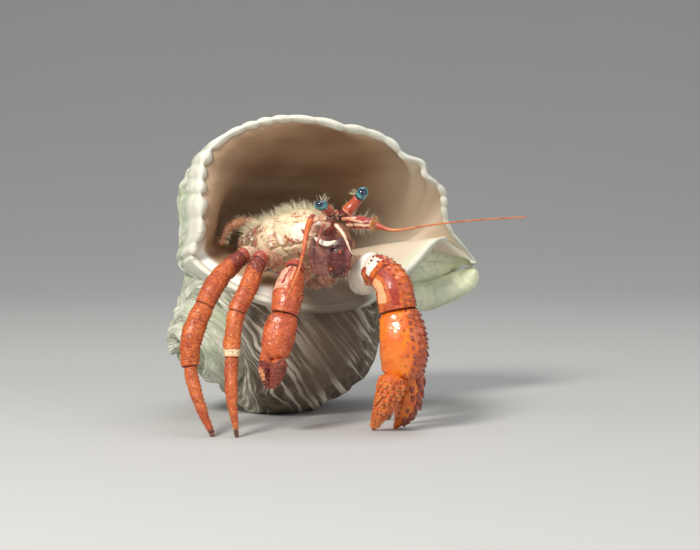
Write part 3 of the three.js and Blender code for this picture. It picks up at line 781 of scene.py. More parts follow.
def scales(piece, s, a, length, radius, seed=1):
    # low flat scales lying along the segment, each one a wide thin spike with a blunt end
    random = np.random.default_rng(seed)
    s, a = np.asarray(s, float), np.asarray(a, float)
    points, normals, ahead = surfaceAt(piece, s, a)
    size = random.uniform(0.8, 1.15, len(s))
    return spikePatch(points - 0.1 * ahead, ahead + 0.30 * normals, normals, length * size,
                      radius * size, (0.0, 0.45, 0.8), (1.0, 1.0, 0.66), -0.05, sides=8, sunk=0.3,
                      flat=0.5, tipStart=0.55)


def scatter(whole, low, high, angleLow, angleHigh, spacing, radius, seed):
    # centres on a jittered grid over a stretch of a segment and a sector of its angles
    random = np.random.default_rng(seed)
    rows = max(1, int((high - low) * whole / spacing))
    columns = max(1, int((angleHigh - angleLow) * radius / spacing))
    i, j = np.meshgrid(np.arange(rows), np.arange(columns), indexing="ij")
    s = (low + (high - low) * (i + 0.5) / rows) * whole
    a = angleLow + (angleHigh - angleLow) * (j + 0.25 + 0.5 * (i % 2)) / columns
    jitter = random.uniform(-0.28, 0.28, (2, rows, columns)) * spacing
    return np.stack([(s + jitter[0]).ravel(), (a + jitter[1] / radius).ravel()], -1)


# A cuticle's values where its own look below says nothing else. A stripe is (angle, width, tone), a
# panel (angle, slope, width, start, end, tone), a band (start, end, softness, tone), a blot (scale,
# threshold, strength, tone) and a place (centre, reach, tone). Angles, starts and ends are shares
# round and along the segment; centres and reaches are millimetres.
plainCuticle = {
    "roughness": 0.42, "coat": 0.25, "glow": 0.12, "mottle": 260.0, "wobble": 420.0, "bump": 0.00012,
    "stripes": (), "panels": (), "bands": (), "blots": (), "places": (),
    "lines": 0, "lineAlong": False, "lineWander": 4.0, "lineBreak": 900.0, "lineFrom": 0.35,
    "lineStrength": 0.6, "glintFleck": None, "fleckScale": 1500.0, "fleckStrength": 0.5,
    "rings": True, "farRing": 0.984, "nearRing": 0.07, "ring": (0.055, 0.008, 0.006),
    "tip": (0.030, 0.022, 0.040),
}


def roundFrom(tree, u, angle, waver):
    # how far round the segment from that angle, from 0 to 0.5, with the waver added
    bent = maths(tree, "ADD", maths(tree, "SUBTRACT", u, angle), waver)
    return maths(tree, "PINGPONG", bent, 0.5)


def cuticle(name, own):
    # Hard skin: two mottled tones, then stripes and panels along, bands across, fine broken lines, pale
    # flecks that are painted glints, blots, tones round a point, a dark line at each joint, and the tips
    # of spines.
    look = {**plainCuticle, **own}
    material, tree, shader = newMaterial(name, look["roughness"], look["coat"], look["glow"])
    place = addNode(tree, "ShaderNodeTexCoord").outputs["Object"]
    uv = addNode(tree, "ShaderNodeUVMap", {"uv_map": "UVMap"}).outputs[0]
    parts = addNode(tree, "ShaderNodeSeparateXYZ", None, i0=uv)
    u, v = parts.outputs[0], parts.outputs[1]
    height, patches = grainNode(tree, place, look["mottle"])
    colour = blend(tree, patches, look["main"], look["deep"])
    wobble = addNode(tree, "ShaderNodeTexNoise", None, Vector=place, Scale=look["wobble"],
                     Detail=3.0).outputs[0]
    shifted = maths(tree, "SUBTRACT", wobble, 0.5)
    for angle, width, tone in look["stripes"]:
        away = roundFrom(tree, u, angle, times(tree, shifted, 0.12))
        colour = blend(tree, remap(tree, away, width * 1.25, width * 0.75), colour, tone)
    for angle, slope, width, low, high, tone in look["panels"]:
        slanted = maths(tree, "SUBTRACT", times(tree, shifted, 0.06), times(tree, v, slope))
        away = roundFrom(tree, u, angle, slanted)
        near = remap(tree, away, width * 1.12, width * 0.88)
        stretch = window(tree, maths(tree, "ADD", v, times(tree, shifted, 0.10)), low, high, 0.02)
        colour = blend(tree, times(tree, near, stretch), colour, tone)
    for low, high, soft, tone in look["bands"]:
        at = maths(tree, "ADD", v, times(tree, shifted, soft * 2.0))
        colour = blend(tree, window(tree, at, low, high, soft * 0.3), colour, tone)
    relief = height
    if look["lines"]:
        phase = maths(tree, "ADD", times(tree, u if look["lineAlong"] else v, float(look["lines"])),
                      times(tree, wobble, look["lineWander"]))
        wave = maths(tree, "SINE", times(tree, phase, 2 * math.pi))
        broken = noiseMask(tree, place, look["lineBreak"], 0.44, 0.56)
        lines = times(tree, remap(tree, wave, look["lineFrom"], 0.95), broken)
        colour = blend(tree, times(tree, lines, look["lineStrength"]), colour, look["lineColour"])
        relief = maths(tree, "SUBTRACT", height, times(tree, lines, 0.6))
    # painted highlight: small pale flecks stand in for glints on the cuticle
    if look["glintFleck"]:
        glintFleck = noiseMask(tree, place, look["fleckScale"], 0.60, 0.72, 2.0)
        colour = blend(tree, times(tree, glintFleck, look["fleckStrength"]), colour, look["glintFleck"])
    for scale, low, strength, tone in look["blots"]:
        blot = noiseMask(tree, place, scale, low, low + 0.05, 3.0)
        colour = blend(tree, times(tree, blot, strength), colour, tone)
    for centre, reach, tone in look["places"]:
        away = addNode(tree, "ShaderNodeVectorMath", {"operation": "DISTANCE"}, i0=place,
                       i1=tuple((np.array(centre) - planMiddle) / 1000)).outputs[1]
        away = maths(tree, "ADD", away, times(tree, shifted, reach * 0.0022))
        colour = blend(tree, remap(tree, away, reach * 1.1e-3, reach * 0.9e-3), colour, tone)
    if look["rings"]:
        far, near = look["farRing"], look["nearRing"]
        ends = maths(tree, "MAXIMUM", remap(tree, v, far, far + 0.014, 0.0, 0.8),
                     remap(tree, v, near, 0.015))
        colour = blend(tree, ends, colour, look["ring"])
    tip = remap(tree, attribute(tree, "tip"), 0.1, 0.75)
    tree.links.new(blend(tree, tip, colour, look["tip"]), shader.inputs["Base Color"])
    rough = remap(tree, height, 0.4, 1.0, look["roughness"] - 0.08, look["roughness"] + 0.14)
    tree.links.new(rough, shader.inputs["Roughness"])
    bumpInto(tree, shader, relief, look["bump"], 0.6)
    return material


maroonTone = (0.19, 0.022, 0.014)
tones = {
    "leg": {"main": (0.60, 0.138, 0.020), "deep": (0.44, 0.072, 0.011), "lines": 11,
            "lineColour": (0.18, 0.024, 0.010), "glintFleck": (0.76, 0.36, 0.16), "coat": 0.12,
            "roughness": 0.48, "lineStrength": 0.75},
    "wrist": {"main": (0.57, 0.122, 0.020), "deep": (0.40, 0.062, 0.012), "lines": 13,
              "lineColour": (0.20, 0.028, 0.010), "glintFleck": (0.76, 0.36, 0.16), "coat": 0.12,
              "roughness": 0.48, "bands": [(-0.2, 0.28, 0.14, maroonTone)]},
    "banded": {"main": (0.62, 0.150, 0.030), "deep": (0.48, 0.085, 0.018), "lines": 9,
               "lineColour": (0.22, 0.034, 0.012), "glintFleck": (0.80, 0.45, 0.22), "coat": 0.12,
               "roughness": 0.48, "bands": [(0.82, 0.965, 0.05, (0.80, 0.66, 0.42))]},
    "shin": {"main": (0.58, 0.130, 0.024), "deep": (0.40, 0.060, 0.013), "lines": 12,
             "lineColour": (0.22, 0.030, 0.010), "glintFleck": (0.76, 0.40, 0.18), "coat": 0.12,
             "roughness": 0.48, "bands": [(0.90, 1.2, 0.03, (0.06, 0.03, 0.02))], "nearRing": 0.03},
    "meral": {"main": (0.70, 0.47, 0.32), "deep": (0.60, 0.28, 0.17), "lines": 7,
              "lineColour": (0.42, 0.085, 0.04), "glintFleck": (0.88, 0.76, 0.60),
              "blots": [(380.0, 0.57, 0.9, (0.44, 0.07, 0.03))],
              "bands": [(0.84, 1.2, 0.08, (0.34, 0.045, 0.022))]},
    "curled": {"main": (0.40, 0.17, 0.080), "deep": (0.28, 0.10, 0.050), "lines": 14,
               "lineColour": (0.18, 0.045, 0.022), "glintFleck": (0.62, 0.42, 0.26), "rings": False},
    "greatHand": {"main": (0.84, 0.215, 0.010), "deep": (0.74, 0.135, 0.008), "coat": 0.6,
                  "roughness": 0.33, "mottle": 150.0, "glow": 0.2, "nearRing": 0.035,
                  "blots": [(900.0, 0.70, 0.6, (0.50, 0.06, 0.02))],
                  # painted shade: both dark stripes lie down the palm's right outer side, away from the
                  # light
                  "stripes": [(0.50, 0.17, (0.50, 0.085, 0.014)), (0.40, 0.14, (0.27, 0.038, 0.012))]},
    "greatFinger": {"main": (0.70, 0.165, 0.018), "deep": (0.52, 0.085, 0.012), "coat": 0.35,
                    "roughness": 0.36, "rings": False, "tip": (0.86, 0.42, 0.17)},
    "greatArm": {"main": (0.68, 0.150, 0.018), "deep": (0.46, 0.068, 0.012), "coat": 0.4,
                 "lines": 5, "lineColour": (0.28, 0.036, 0.012), "lineStrength": 0.4,
                 "roughness": 0.36, "nearRing": 0.02,
                 "stripes": [(0.42, 0.12, (0.40, 0.065, 0.020))],
                 # painted highlight: the first panel, pale pink down the carpus's left front
                 "panels": [(0.87, 0.03, 0.055, 0.36, 0.84, (0.92, 0.46, 0.22)),
                            (0.75, 0.0, 0.040, 0.34, 0.92, (0.38, 0.034, 0.012)),
                            (0.98, 0.0, 0.07, -0.2, 0.34, (0.82, 0.25, 0.03)),
                            (0.89, 0.05, 0.03, -0.2, 0.34, (0.36, 0.032, 0.012)),
                            (0.73, 0.10, 0.12, -0.2, 0.22, (0.96, 0.92, 0.80)),
                            (0.57, 0.12, 0.022, -0.2, 0.34, (0.40, 0.040, 0.014)),
                            (0.52, 0.12, 0.018, -0.2, 0.34, (0.86, 0.42, 0.16)),
                            (0.80, 0.0, 0.26, 0.325, 0.345, (0.12, 0.012, 0.006))]},
    "greatMeral": {"main": (0.97, 0.93, 0.82), "deep": (0.95, 0.86, 0.70), "roughness": 0.34,
                   "coat": 0.4, "mottle": 160.0, "nearRing": 0.03, "ring": (0.34, 0.06, 0.02),
                   "farRing": 0.994,
                   "panels": [(0.88, 0.0, 0.11, 0.66, 1.2, (0.80, 0.22, 0.03)),
                              (0.79, 0.0, 0.03, 0.74, 1.2, (0.40, 0.04, 0.014))],
                   "bands": [(-0.2, 0.10, 0.05, (0.40, 0.06, 0.02))]},
    "smallHand": {"main": (0.58, 0.110, 0.024), "deep": (0.42, 0.062, 0.018), "lines": 10,
                  "lineColour": (0.24, 0.034, 0.016), "glintFleck": (0.74, 0.34, 0.17),
                  "blots": [(800.0, 0.66, 0.7, (0.13, 0.035, 0.035))], "farRing": 1.1,
                  "places": [((-13.0, -41.0, 14.8), 5.2, (0.20, 0.032, 0.018)),
                             # painted highlight: the three small orange places by the fingers
                             ((-15.6, -41.2, 17.8), 0.9, (0.72, 0.31, 0.14)),
                             ((-15.2, -41.2, 16.6), 0.9, (0.72, 0.31, 0.14)),
                             ((-14.8, -41.2, 15.4), 0.8, (0.66, 0.26, 0.12))]},
    "smallWrist": {"main": (0.58, 0.110, 0.024), "deep": (0.44, 0.068, 0.018), "lines": 8,
                   "lineColour": (0.24, 0.034, 0.016), "glintFleck": (0.74, 0.34, 0.17),
                   "blots": [(800.0, 0.68, 0.7, (0.13, 0.035, 0.035))],
                   "panels": [(0.95, -0.10, 0.13, -0.2, 0.60, (0.78, 0.42, 0.29)),
                              (0.80, 0.05, 0.014, -0.2, 0.50, (0.34, 0.036, 0.020)),
                              (0.74, 0.05, 0.012, -0.2, 0.40, (0.80, 0.44, 0.26)),
                              (0.68, 0.05, 0.014, -0.2, 0.34, (0.34, 0.036, 0.020))]},
    "smallFinger": {"main": (0.24, 0.036, 0.018), "deep": (0.14, 0.022, 0.014), "rings": False,
                    "tip": (0.36, 0.075, 0.034), "glintFleck": (0.62, 0.26, 0.12),
                    "stripes": [(0.70, 0.04, (0.42, 0.10, 0.035)), (0.85, 0.03, (0.40, 0.09, 0.03))],
                    "bands": [(-0.2, 0.16, 0.10, (0.52, 0.105, 0.028))]},
    "smallMeral": {"main": (0.72, 0.33, 0.20), "deep": (0.60, 0.19, 0.10), "roughness": 0.34,
                   "lines": 6, "lineColour": (0.42, 0.055, 0.024), "coat": 0.4,
                   "bands": [(0.86, 1.2, 0.05, (0.40, 0.05, 0.022))]},
    "carapace": {"main": (0.84, 0.72, 0.49), "deep": (0.76, 0.52, 0.34), "lines": 26,
                 "lineColour": (0.36, 0.11, 0.05), "lineStrength": 0.85, "lineWander": 5.0,
                 "lineFrom": 0.1, "lineBreak": 260.0, "wobble": 200.0, "lineAlong": True,
                 "places": [((-13, -22, 47.5), 2.6, (0.66, 0.30, 0.20)),
                            ((-5.4, -26.6, 55.4), 3.2, (0.95, 0.89, 0.74)),
                            *(((-7.4 + 0.62 * i, -25.8 - 0.28 * i, 58.0 - 0.66 * i), 0.75 + 0.1 * (i % 3),
                               (0.36, 0.06, 0.028)) for i in range(6)),
                            *(((-9.4 + 0.8 * i, -24.2 - 0.3 * i, 53.2 - 0.5 * i), 0.55,
                               (0.44, 0.10, 0.05)) for i in range(4)),
                            ((2.0, -29.0, 57.2), 2.1, (0.60, 0.36, 0.24)),
                            ((-0.9, -29.0, 58.4), 2.2, (0.95, 0.88, 0.76)),
                            # painted highlights: these two white places further back stand in for glints
                            # on the shield
                            ((-11.5, -22.5, 52.2), 1.6, (0.95, 0.90, 0.76)),
                            ((-14.5, -20.5, 50.4), 1.2, (0.95, 0.90, 0.76))],
                 "glintFleck": (0.95, 0.90, 0.76), "fleckScale": 520.0, "fleckStrength": 0.75,
                 "roughness": 0.46, "rings": False,
                 "blots": [(230.0, 0.60, 0.8, (0.42, 0.090, 0.040))],
                 # the last band, dark brown over the rear, is painted shade
                 "bands": [(-0.2, 0.13, 0.08, (0.54, 0.26, 0.17)), (-0.2, 0.05, 0.05, (0.30, 0.05, 0.03)),
                           (0.66, 1.2, 0.10, (0.24, 0.13, 0.085))]},
    "jaw": {"main": (0.105, 0.013, 0.012), "deep": (0.060, 0.007, 0.008), "lines": 4,
            "lineColour": (0.30, 0.08, 0.06), "lineStrength": 0.15, "glintFleck": (0.50, 0.24, 0.19),
            "fleckStrength": 0.3, "roughness": 0.34, "rings": False, "coat": 0.4,
            # painted sheen: the paler maroon stripe, which the snout shares
            "stripes": [(0.60, 0.05, (0.20, 0.045, 0.036))]},
    "crescent": {"main": (0.90, 0.84, 0.72), "deep": (0.84, 0.70, 0.56), "rings": False},
    "soft": {"main": (0.52, 0.27, 0.17), "deep": (0.36, 0.145, 0.090), "lines": 26,
             "lineColour": (0.24, 0.075, 0.045), "roughness": 0.45, "glow": 0.3, "rings": False},
    "chest": {"main": (0.46, 0.24, 0.15), "deep": (0.28, 0.10, 0.06), "lines": 9,
              "lineColour": (0.30, 0.07, 0.04), "roughness": 0.42, "glow": 0.3, "rings": False,
              "glintFleck": (0.84, 0.70, 0.56)},
    "stalk": {"main": (0.56, 0.110, 0.034), "deep": (0.40, 0.050, 0.022), "roughness": 0.32,
              "glintFleck": (0.78, 0.42, 0.28), "coat": 0.5, "rings": False,
              "bands": [(-0.2, 0.34, 0.08, (0.12, 0.010, 0.010)),
                        (0.34, 0.40, 0.03, (0.74, 0.30, 0.16))]},
    "acicle": {"main": (0.80, 0.56, 0.38), "deep": (0.56, 0.20, 0.10), "rings": False,
               "tip": (0.42, 0.06, 0.03)},
    "feeler": {"main": (0.60, 0.17, 0.040), "deep": (0.44, 0.085, 0.022), "lines": 60,
               "lineColour": (0.72, 0.38, 0.15), "roughness": 0.4, "rings": False,
               "bands": [(-0.2, 0.10, 0.03, (0.44, 0.050, 0.022))]},
    "rod": {"main": (0.66, 0.17, 0.034), "deep": (0.50, 0.085, 0.020), "roughness": 0.36,
            "rings": False, "bands": [(-0.2, 0.22, 0.10, (0.30, 0.035, 0.018))]},
    "feelerBase": {"main": (0.36, 0.040, 0.022), "deep": (0.22, 0.018, 0.014), "roughness": 0.32,
                   "glintFleck": (0.66, 0.36, 0.26), "coat": 0.5, "rings": False,
                   "stripes": [(0.0, 0.05, (0.84, 0.66, 0.46)), (0.80, 0.035, (0.74, 0.48, 0.32))],
                   "bands": [(0.36, 0.40, 0.02, (0.09, 0.01, 0.01)),
                             (0.90, 1.2, 0.03, (0.72, 0.28, 0.05))]},
    "antennule": {"main": (0.42, 0.13, 0.085), "deep": (0.28, 0.07, 0.045), "roughness": 0.35,
                  "rings": False},
}
# painted sheen: a lit copy of the jaw, lightened to pinkish brown, for the right outer mouth leg
tones["jawSheenLit"] = {**tones["jaw"], "main": (0.30, 0.115, 0.085), "deep": (0.17, 0.050, 0.038),
                    "stripes": [(0.55, 0.10, (0.12, 0.018, 0.016))]}
tones["antennulePale"] = {**tones["antennule"], "main": (0.86, 0.66, 0.50), "deep": (0.70, 0.42, 0.28)}
tones["snout"] = {**tones["jaw"], "bands": [(-0.2, 0.42, 0.12, (0.46, 0.25, 0.16))]}
materials = {name: cuticle(name + "Cuticle", look) for name, look in tones.items()}

# A segment is its name, its look, half widths from its start to its end, and points of its path.
legs = {
    "leg_right_2": [
        ("merus", "meral", [1.8, 2.2, 2.0],
         [(-9.6, -19.5, 43.6), (-13.6, -25, 47.2), (-16.4, -30, 46.8)]),
        ("carpus", "wrist", [2.0, 2.4, 2.3],
         [(-16.4, -30, 46.8), (-19.4, -35.4, 38.8), (-22, -37.8, 33.3)]),
        ("propodus", "banded", [2.2, 2.2, 2.0],
         [(-22, -37.8, 33.3), (-23.1, -39.2, 26.7), (-23.3, -40.2, 21)]),
        ("dactylus", "shin", [1.8, 1.5, 0.45],
         [(-23.3, -40.2, 21), (-23.2, -43.2, 11.3), (-21.7, -44.8, 0)])],
    "leg_right_3": [
        ("merus", "meral", [1.8, 2.4, 2.1],
         [(-14.6, -16.8, 44.2), (-18.4, -20.2, 47.6), (-21.6, -23.4, 47.4)]),
        ("carpus", "wrist", [2.1, 2.6, 2.5],
         [(-21.6, -23.4, 47.4), (-27.4, -30, 41.9), (-31.1, -34.5, 34.8)]),
        ("propodus", "leg", [2.5, 2.75, 2.3],
         [(-31.1, -34.5, 34.8), (-34.2, -38, 26.8), (-34.6, -39.5, 18.6)]),
        ("dactylus", "shin", [1.7, 1.45, 0.45],
         [(-34.6, -39.5, 18.6), (-32.1, -42.4, 9.4), (-28.2, -43.3, 0)])],
    "leg_left_2": [
        ("merus", "meral", [1.8, 2.3, 2.1],
         [(10.6, -9, 43.2), (15.5, -13.4, 45.6), (19.4, -17.6, 44)]),
        ("carpus", "wrist", [2.1, 2.6, 2.6],
         [(19.4, -17.6, 44), (22.2, -20.4, 38.8), (22.8, -21.8, 32.4)]),
        ("propodus", "leg", [2.5, 2.8, 2.2],
         [(22.8, -21.8, 32.4), (23.4, -22.8, 25.6), (23.2, -22.6, 18)]),
        ("dactylus", "shin", [1.7, 1.45, 0.45],
         [(23.2, -22.6, 18), (22.8, -21, 8.4), (21.6, -18.2, 0)])],
    "leg_left_3": [
        ("merus", "meral", [1.6, 2.1, 2],
         [(3.6, 2.4, 44.8), (10.5, 0, 44.8), (16.4, -3.4, 44.2)]),
        ("carpus", "wrist", [2, 2.5, 2.5],
         [(16.4, -3.4, 44.2), (21, -7.4, 38.5), (22.4, -9.4, 31.5)]),
        ("propodus", "leg", [2.4, 2.6, 2.2],
         [(22.4, -9.4, 31.5), (23, -10.6, 24.4), (22.4, -10.8, 16.8)]),
        ("dactylus", "shin", [1.7, 1.4, 0.45],
         [(22.4, -10.8, 16.8), (21.4, -9.4, 8), (19.6, -6.8, 0)])],
}
pieces = {}


def seedOf(name):
    return sum(ord(letter) for letter in name)


def wholePath(segments):
    # the points of all segments in one list, each joint once
    path = list(segments[0][3])
    for segment in segments[1:]:
        path += segment[3][1:]
    return path


legLook = {"tuck": 0.07, "ridgesPerMm": 0.95, "ridgeHeight": 0.17, "keel": 0.05, "spineStep": 1.3,
           "spineLength": 0.42, "spineRadius": 0.18, "spineLean": 1.4}


def buildLimb(limb, segments):
    # every segment of a leg, each starting a little inside the one before it, with rows of spines
    look = legLook
    path = wholePath(segments)
    first = 0
    for order, (part, tone, half, points) in enumerate(segments):
        end = first + len(points) - 1
        name = limb + "_" + part
        seed = seedOf(name)
        isTip = part == "dactylus"
        lift = together(striae(look["ridgesPerMm"], look["ridgeHeight"], seed),
                        lambda s, a, r: look["keel"] * r * np.cos(2 * a))
        piece = sweep(path, half, first - look["tuck"] if order else first, end, rows=120, around=56,
                      lift=lift, startRound=2.0, endLeast=0.35 if isTip else 0.9,
                      endRound=0.8 if isTip else 0.5)
        pieces[name] = piece
        s = np.arange(1.2, piece["whole"] - 1.0, look["spineStep"])
        rows = [spines(piece, s, np.full(len(s), turn * np.pi), look["spineLength"],
                       look["spineRadius"], look["spineLean"], seed)
                for turn in ((0.98,) if isTip else (0.98, 1.44))]
        buildObject(name + "_plate", [platePatch(piece), *rows], materials[tone], [name])
        first = end


for limbName, segments in legs.items():
    buildLimb(limbName, segments)
print("stage: legs")

# Segments as a leg has them, how flat each is, and both fingers' paths and half widths.
claws = {
    "left": {
        "segments": [
            ("merus", "greatMeral", [2.8, 4.4, 4.1],
             [(10.6, -16.5, 39), (12.6, -21.5, 41.4), (15, -27.4, 44.8)]),
            ("carpus", "greatArm", [3.4, 4.8, 5],
             [(15, -27.4, 44.8), (20, -32.6, 40.6), (21.6, -34, 33.3)]),
            ("palm", "greatHand", [5, 6.4, 5.6],
             [(21.6, -34, 33.3), (23.2, -36, 24.4), (23, -34, 15.2)])],
        "flats": {"merus": 0.85, "carpus": 0.85, "palm": 0.7},
        "fixed": ([(24.6, -33.4, 20.5), (25.6, -31.0, 12.6), (24.4, -28.6, 5.8), (21, -26.2, 0)],
                  [4, 3.4, 3.0, 0.5]),
        "free": ([(20.6, -38.4, 16.4), (19.3, -37.2, 11.2), (17.1, -34, 5.5), (15, -29.6, 0)],
                 [3.7, 3.2, 1.8, 0.45]),
        "finger": "greatFinger", "size": 1.0},
    "right": {
        "segments": [
            ("merus", "smallMeral", [2.3, 3.1, 2.6],
             [(-3.4, -21.4, 42), (-5.6, -26, 44), (-6.7, -30.8, 44.2)]),
            ("carpus", "smallWrist", [2.5, 3.9, 3.5],
             [(-6.7, -30.8, 44.2), (-8.4, -36.2, 38), (-9.2, -38.6, 32.8)]),
            ("palm", "smallHand", [3.7, 4.3, 3.3],
             [(-9.2, -38.6, 32.8), (-10.8, -40.2, 26.5), (-12, -41, 20.6)])],
        "flats": {"merus": 0.9, "carpus": 0.85, "palm": 0.75},
        "fixed": ([(-12.8, -40.4, 23.4), (-14.4, -39.8, 17.4), (-13.4, -39.4, 12.6)], [2.4, 1.7, 0.45]),
        "free": ([(-10.6, -43.6, 21), (-10.8, -43, 17.4), (-12.2, -41.6, 12.8)], [2.3, 1.8, 0.45]),
        "finger": "smallFinger", "size": 0.7},
}
# Rows of spines on a claw: an angle as a multiple of pi, the spacing and the size.
edgeRows = {
    "left": ((1.36, 1.75, 1.0), (1.27, 1.6, 0.8), (1.17, 1.6, 0.7), (1.07, 1.7, 0.7),
             (0.97, 1.6, 0.8), (1.46, 2.6, 0.5)),
    "right": ((1.0, 1.5, 1.3), (1.1, 1.7, 0.9), (0.9, 1.7, 0.9), (1.24, 2.2, 0.6),
              (1.42, 2.4, 0.55), (1.62, 2.6, 0.5)),
}


def edgeSpines(piece, side, size, seed):
    # rows of dark-tipped spines from the middle of the face to the outer edge
    rows = []
    for angle, spacing, share in edgeRows[side]:
        s = np.arange(1.3, piece["whole"] - 0.9, spacing * size)
        s = s + 0.25 * np.sin(s * 7 + angle * 9)
        a = angle * np.pi + 0.05 * np.sin(s * 3 + angle)
        rows.append(spines(piece, s, a, 0.95 * size * share, 0.46 * size * share, 0.9, seed))
    return rows


def fingerPiece(name, path, half):
    # a curved finger with low warts all over it
    seed = seedOf(name)
    size = half[0] / 3.5
    spots = scatter(16.0, 0.04, 0.9, 0, 2 * np.pi, 1.3, 2.6, seed)
    return sweep(path, half, flat=0.8, rows=100, around=56, startRound=2.6 * size, startLeast=0.3,
                 endRound=0.8, endLeast=0.4, lift=bumpField(spots, 0.5 * size, 0.22 * size))


def fingerScales(piece, size):
    # overlapping flat scales all over the finger, points towards its tip
    spots = scatter(piece["whole"], 0.05, 0.88, 0, 2 * np.pi, 1.3 * size, 2.7, 77)
    oblique = spots[:, 0] + 0.5 * np.sin(spots[:, 1] + 0.8)
    return scales(piece, oblique, spots[:, 1], 1.25 * size, 0.74 * size, 78)


def fingerTeeth(piece, turn):
    # blunt teeth along the edge that meets the other finger
    s = np.arange(0.3, 0.9, 0.09) * piece["whole"]
    return spines(piece, s, np.full(len(s), turn * np.pi), 0.5, 0.42, 0.1, 5)


def buildClaw(side, claw):
    # the arm's segments, the fixed finger with its teeth on the palm, and the free finger
    path = wholePath(claw["segments"])
    size = claw["size"]
    first = 0
    for order, (part, tone, half, points) in enumerate(claw["segments"]):
        end = first + len(points) - 1
        name = "claw_" + side + "_" + part
        seed = seedOf(name)
        hand = part == "palm"
        lift = striae(0.6, 0.13, seed)
        if side == "left" and part != "merus":
            spots = scatter(12.0, 0.05, 1.6, 0.62 * np.pi, 1.34 * np.pi, 1.45, 6.0, seed)
            lift = together(bumpField(spots, 0.6, 0.40), uneven(seed))
        piece = sweep(path, half, first - 0.06 if order else first, end, claw["flats"][part],
                      rows=120, around=80, lift=lift, endRound=2.6 if hand else 0.5,
                      endLeast=0.5 if hand else 0.93, startRound=2.4,
                      startLeast=0.62 if order else 0.72)
        pieces[name] = piece
        patches = [platePatch(piece)]
        if part != "merus":
            patches += edgeSpines(piece, side, size, seed)
        if hand:
            fixed = fingerPiece(name + "_fixed", *claw["fixed"])
            pieces[name + "_fixed"] = fixed
            spots = scatter(fixed["whole"], 0.25, 0.86, 0.6 * np.pi, 1.5 * np.pi, 1.5 * size, 2.4, 79)
            patches += [platePatch(fixed), fingerTeeth(fixed, 1.7),
                        scales(fixed, spots[:, 0], spots[:, 1], 1.5 * size, 0.6 * size, 80)]
        buildObject(name + "_plate", patches, materials[tone], [name])
        first = end
    name = "claw_" + side + "_finger"
    finger = fingerPiece(name, *claw["free"])
    pieces[name] = finger
    patches = [platePatch(finger), fingerScales(finger, size), fingerTeeth(finger, 0.6)]
    tone = claw["finger"]
    buildObject(name + "_plate", patches, materials[tone], [name])


for side, claw in claws.items():
    buildClaw(side, claw)
print("stage: claws")

bodyLook = {
    "back": [(4.4, -26, 56.4), (-1.8, -21.5, 54.6), (-9.6, -15, 52.8), (-16.6, -7.6, 50.6),
             (-21.6, -1.6, 49.8)],
    "backHalf": [2.6, 6.0, 6.5, 5.0, 3.0],
    "belly": [(-21.6, -1.6, 49.8), (-15, 8, 53.6), (-5.5, 20, 53.8), (5, 34, 50), (4, 41.5, 35),
              (-2, 39.6, 23), (-8, 37, 15.5)],
    "bellyHalf": [3, 3.8, 4.2, 4.6, 4.6, 3.4, 1.4],
    "chest": [(5, -20, 42.6), (-1.6, -16.6, 42.2), (-8, -13.6, 42.6)],
    "chestHalf": [2.6, 3.6, 2.2],
    "mouth": [(4.8, -25.8, 51.2), (4.6, -24.4, 48), (4.6, -22.8, 45.6)],
    "mouthHalf": [2.6, 3.4, 2.6],
}


def backLift(s, a, radius):
    # the neck groove across the back, a groove along each side, lobes between and fine wavy ridges
    q = ringPoints(s, a, radius)
    groove = -0.95 * np.exp(-((s - 16.5 - 1.8 * np.cos(a) + 0.5 * noise(q, 3, 35)) / 0.8) ** 2)
    side = -0.7 * np.exp(-((a - 1.70 * np.pi - 0.05 * np.sin(s)) / 0.09) ** 2) * smooth(s, 3, 8)
    low = -0.6 * np.exp(-((a - 1.36 * np.pi) / 0.08) ** 2) * smooth(s, 3, 8)
    lobes = 0.45 * noise(q, 4.2, 36)
    wavy = (a * 26 / (2 * np.pi) + 1.6 * noise(q, 3.0, 31) + 0.2 * np.sin(s * 1.7)) % 1.0
    ridges = 0.22 * (1 - wavy) ** 2 * smooth(noise(q, 1.6, 32), -0.4, 0.1)
    return groove + side + low + lobes + ridges + 0.12 * noise(q, 0.9, 33)


def buildBody():
    # the hard back with its four front spines, the soft abdomen, the chest and the snout
    look = bodyLook
    back = sweep(look["back"], look["backHalf"], flat=0.98, rows=190, around=150, startRound=3.2,
                 startLeast=0.55, endRound=2.5, endLeast=0.8, lift=backLift)
    pieces["carapace"] = back
    teeth = np.array([-0.55, -0.2, 0.2, 0.55])
    front = spines(back, np.full(4, 1.4), teeth, 1.0, 0.45, -1.6, 9)
    buildObject("carapace_plate", [platePatch(back), front], materials["carapace"],
                ["carapace_shield", "carapace_rear"])
    belly = sweep(look["belly"], look["bellyHalf"], flat=0.95, rows=170, around=80, startRound=0.1,
                  startLeast=1.0, endRound=1.5, endLeast=0.3,
                  lift=lambda s, a, r: 0.25 * np.cos(s * 1.3) * smooth(s, 4, 9)
                  + 0.12 * np.cos(s * 7 + np.sin(a * 3)))
    pieces["abdomen"] = belly
    buildObject("abdomen_skin", [platePatch(belly)], materials["soft"], ["abdomen"])
    chest = sweep(look["chest"], look["chestHalf"], flat=1, startRound=2.2, startLeast=0.3,
                  endRound=1.6, endLeast=0.3, rows=90, around=72,
                  lift=together(striae(0.5, 0.3, 51),
                                lambda s, a, r: 0.5 * np.cos(s * 1.9) * smooth(s, 1, 3)))
    pieces["chest"] = chest
    buildObject("chest_skin", [platePatch(chest)], materials["chest"], ["thorax"])
    mouth = sweep(look["mouth"], look["mouthHalf"], flat=0.7, endRound=1.5, endLeast=0.4,
                  startRound=2.2, startLeast=0.3, lift=striae(0.8, 0.2, 52))
    pieces["mouth"] = mouth
    buildObject("mouth_skin", [platePatch(mouth)], materials["snout"], ["mouth"])


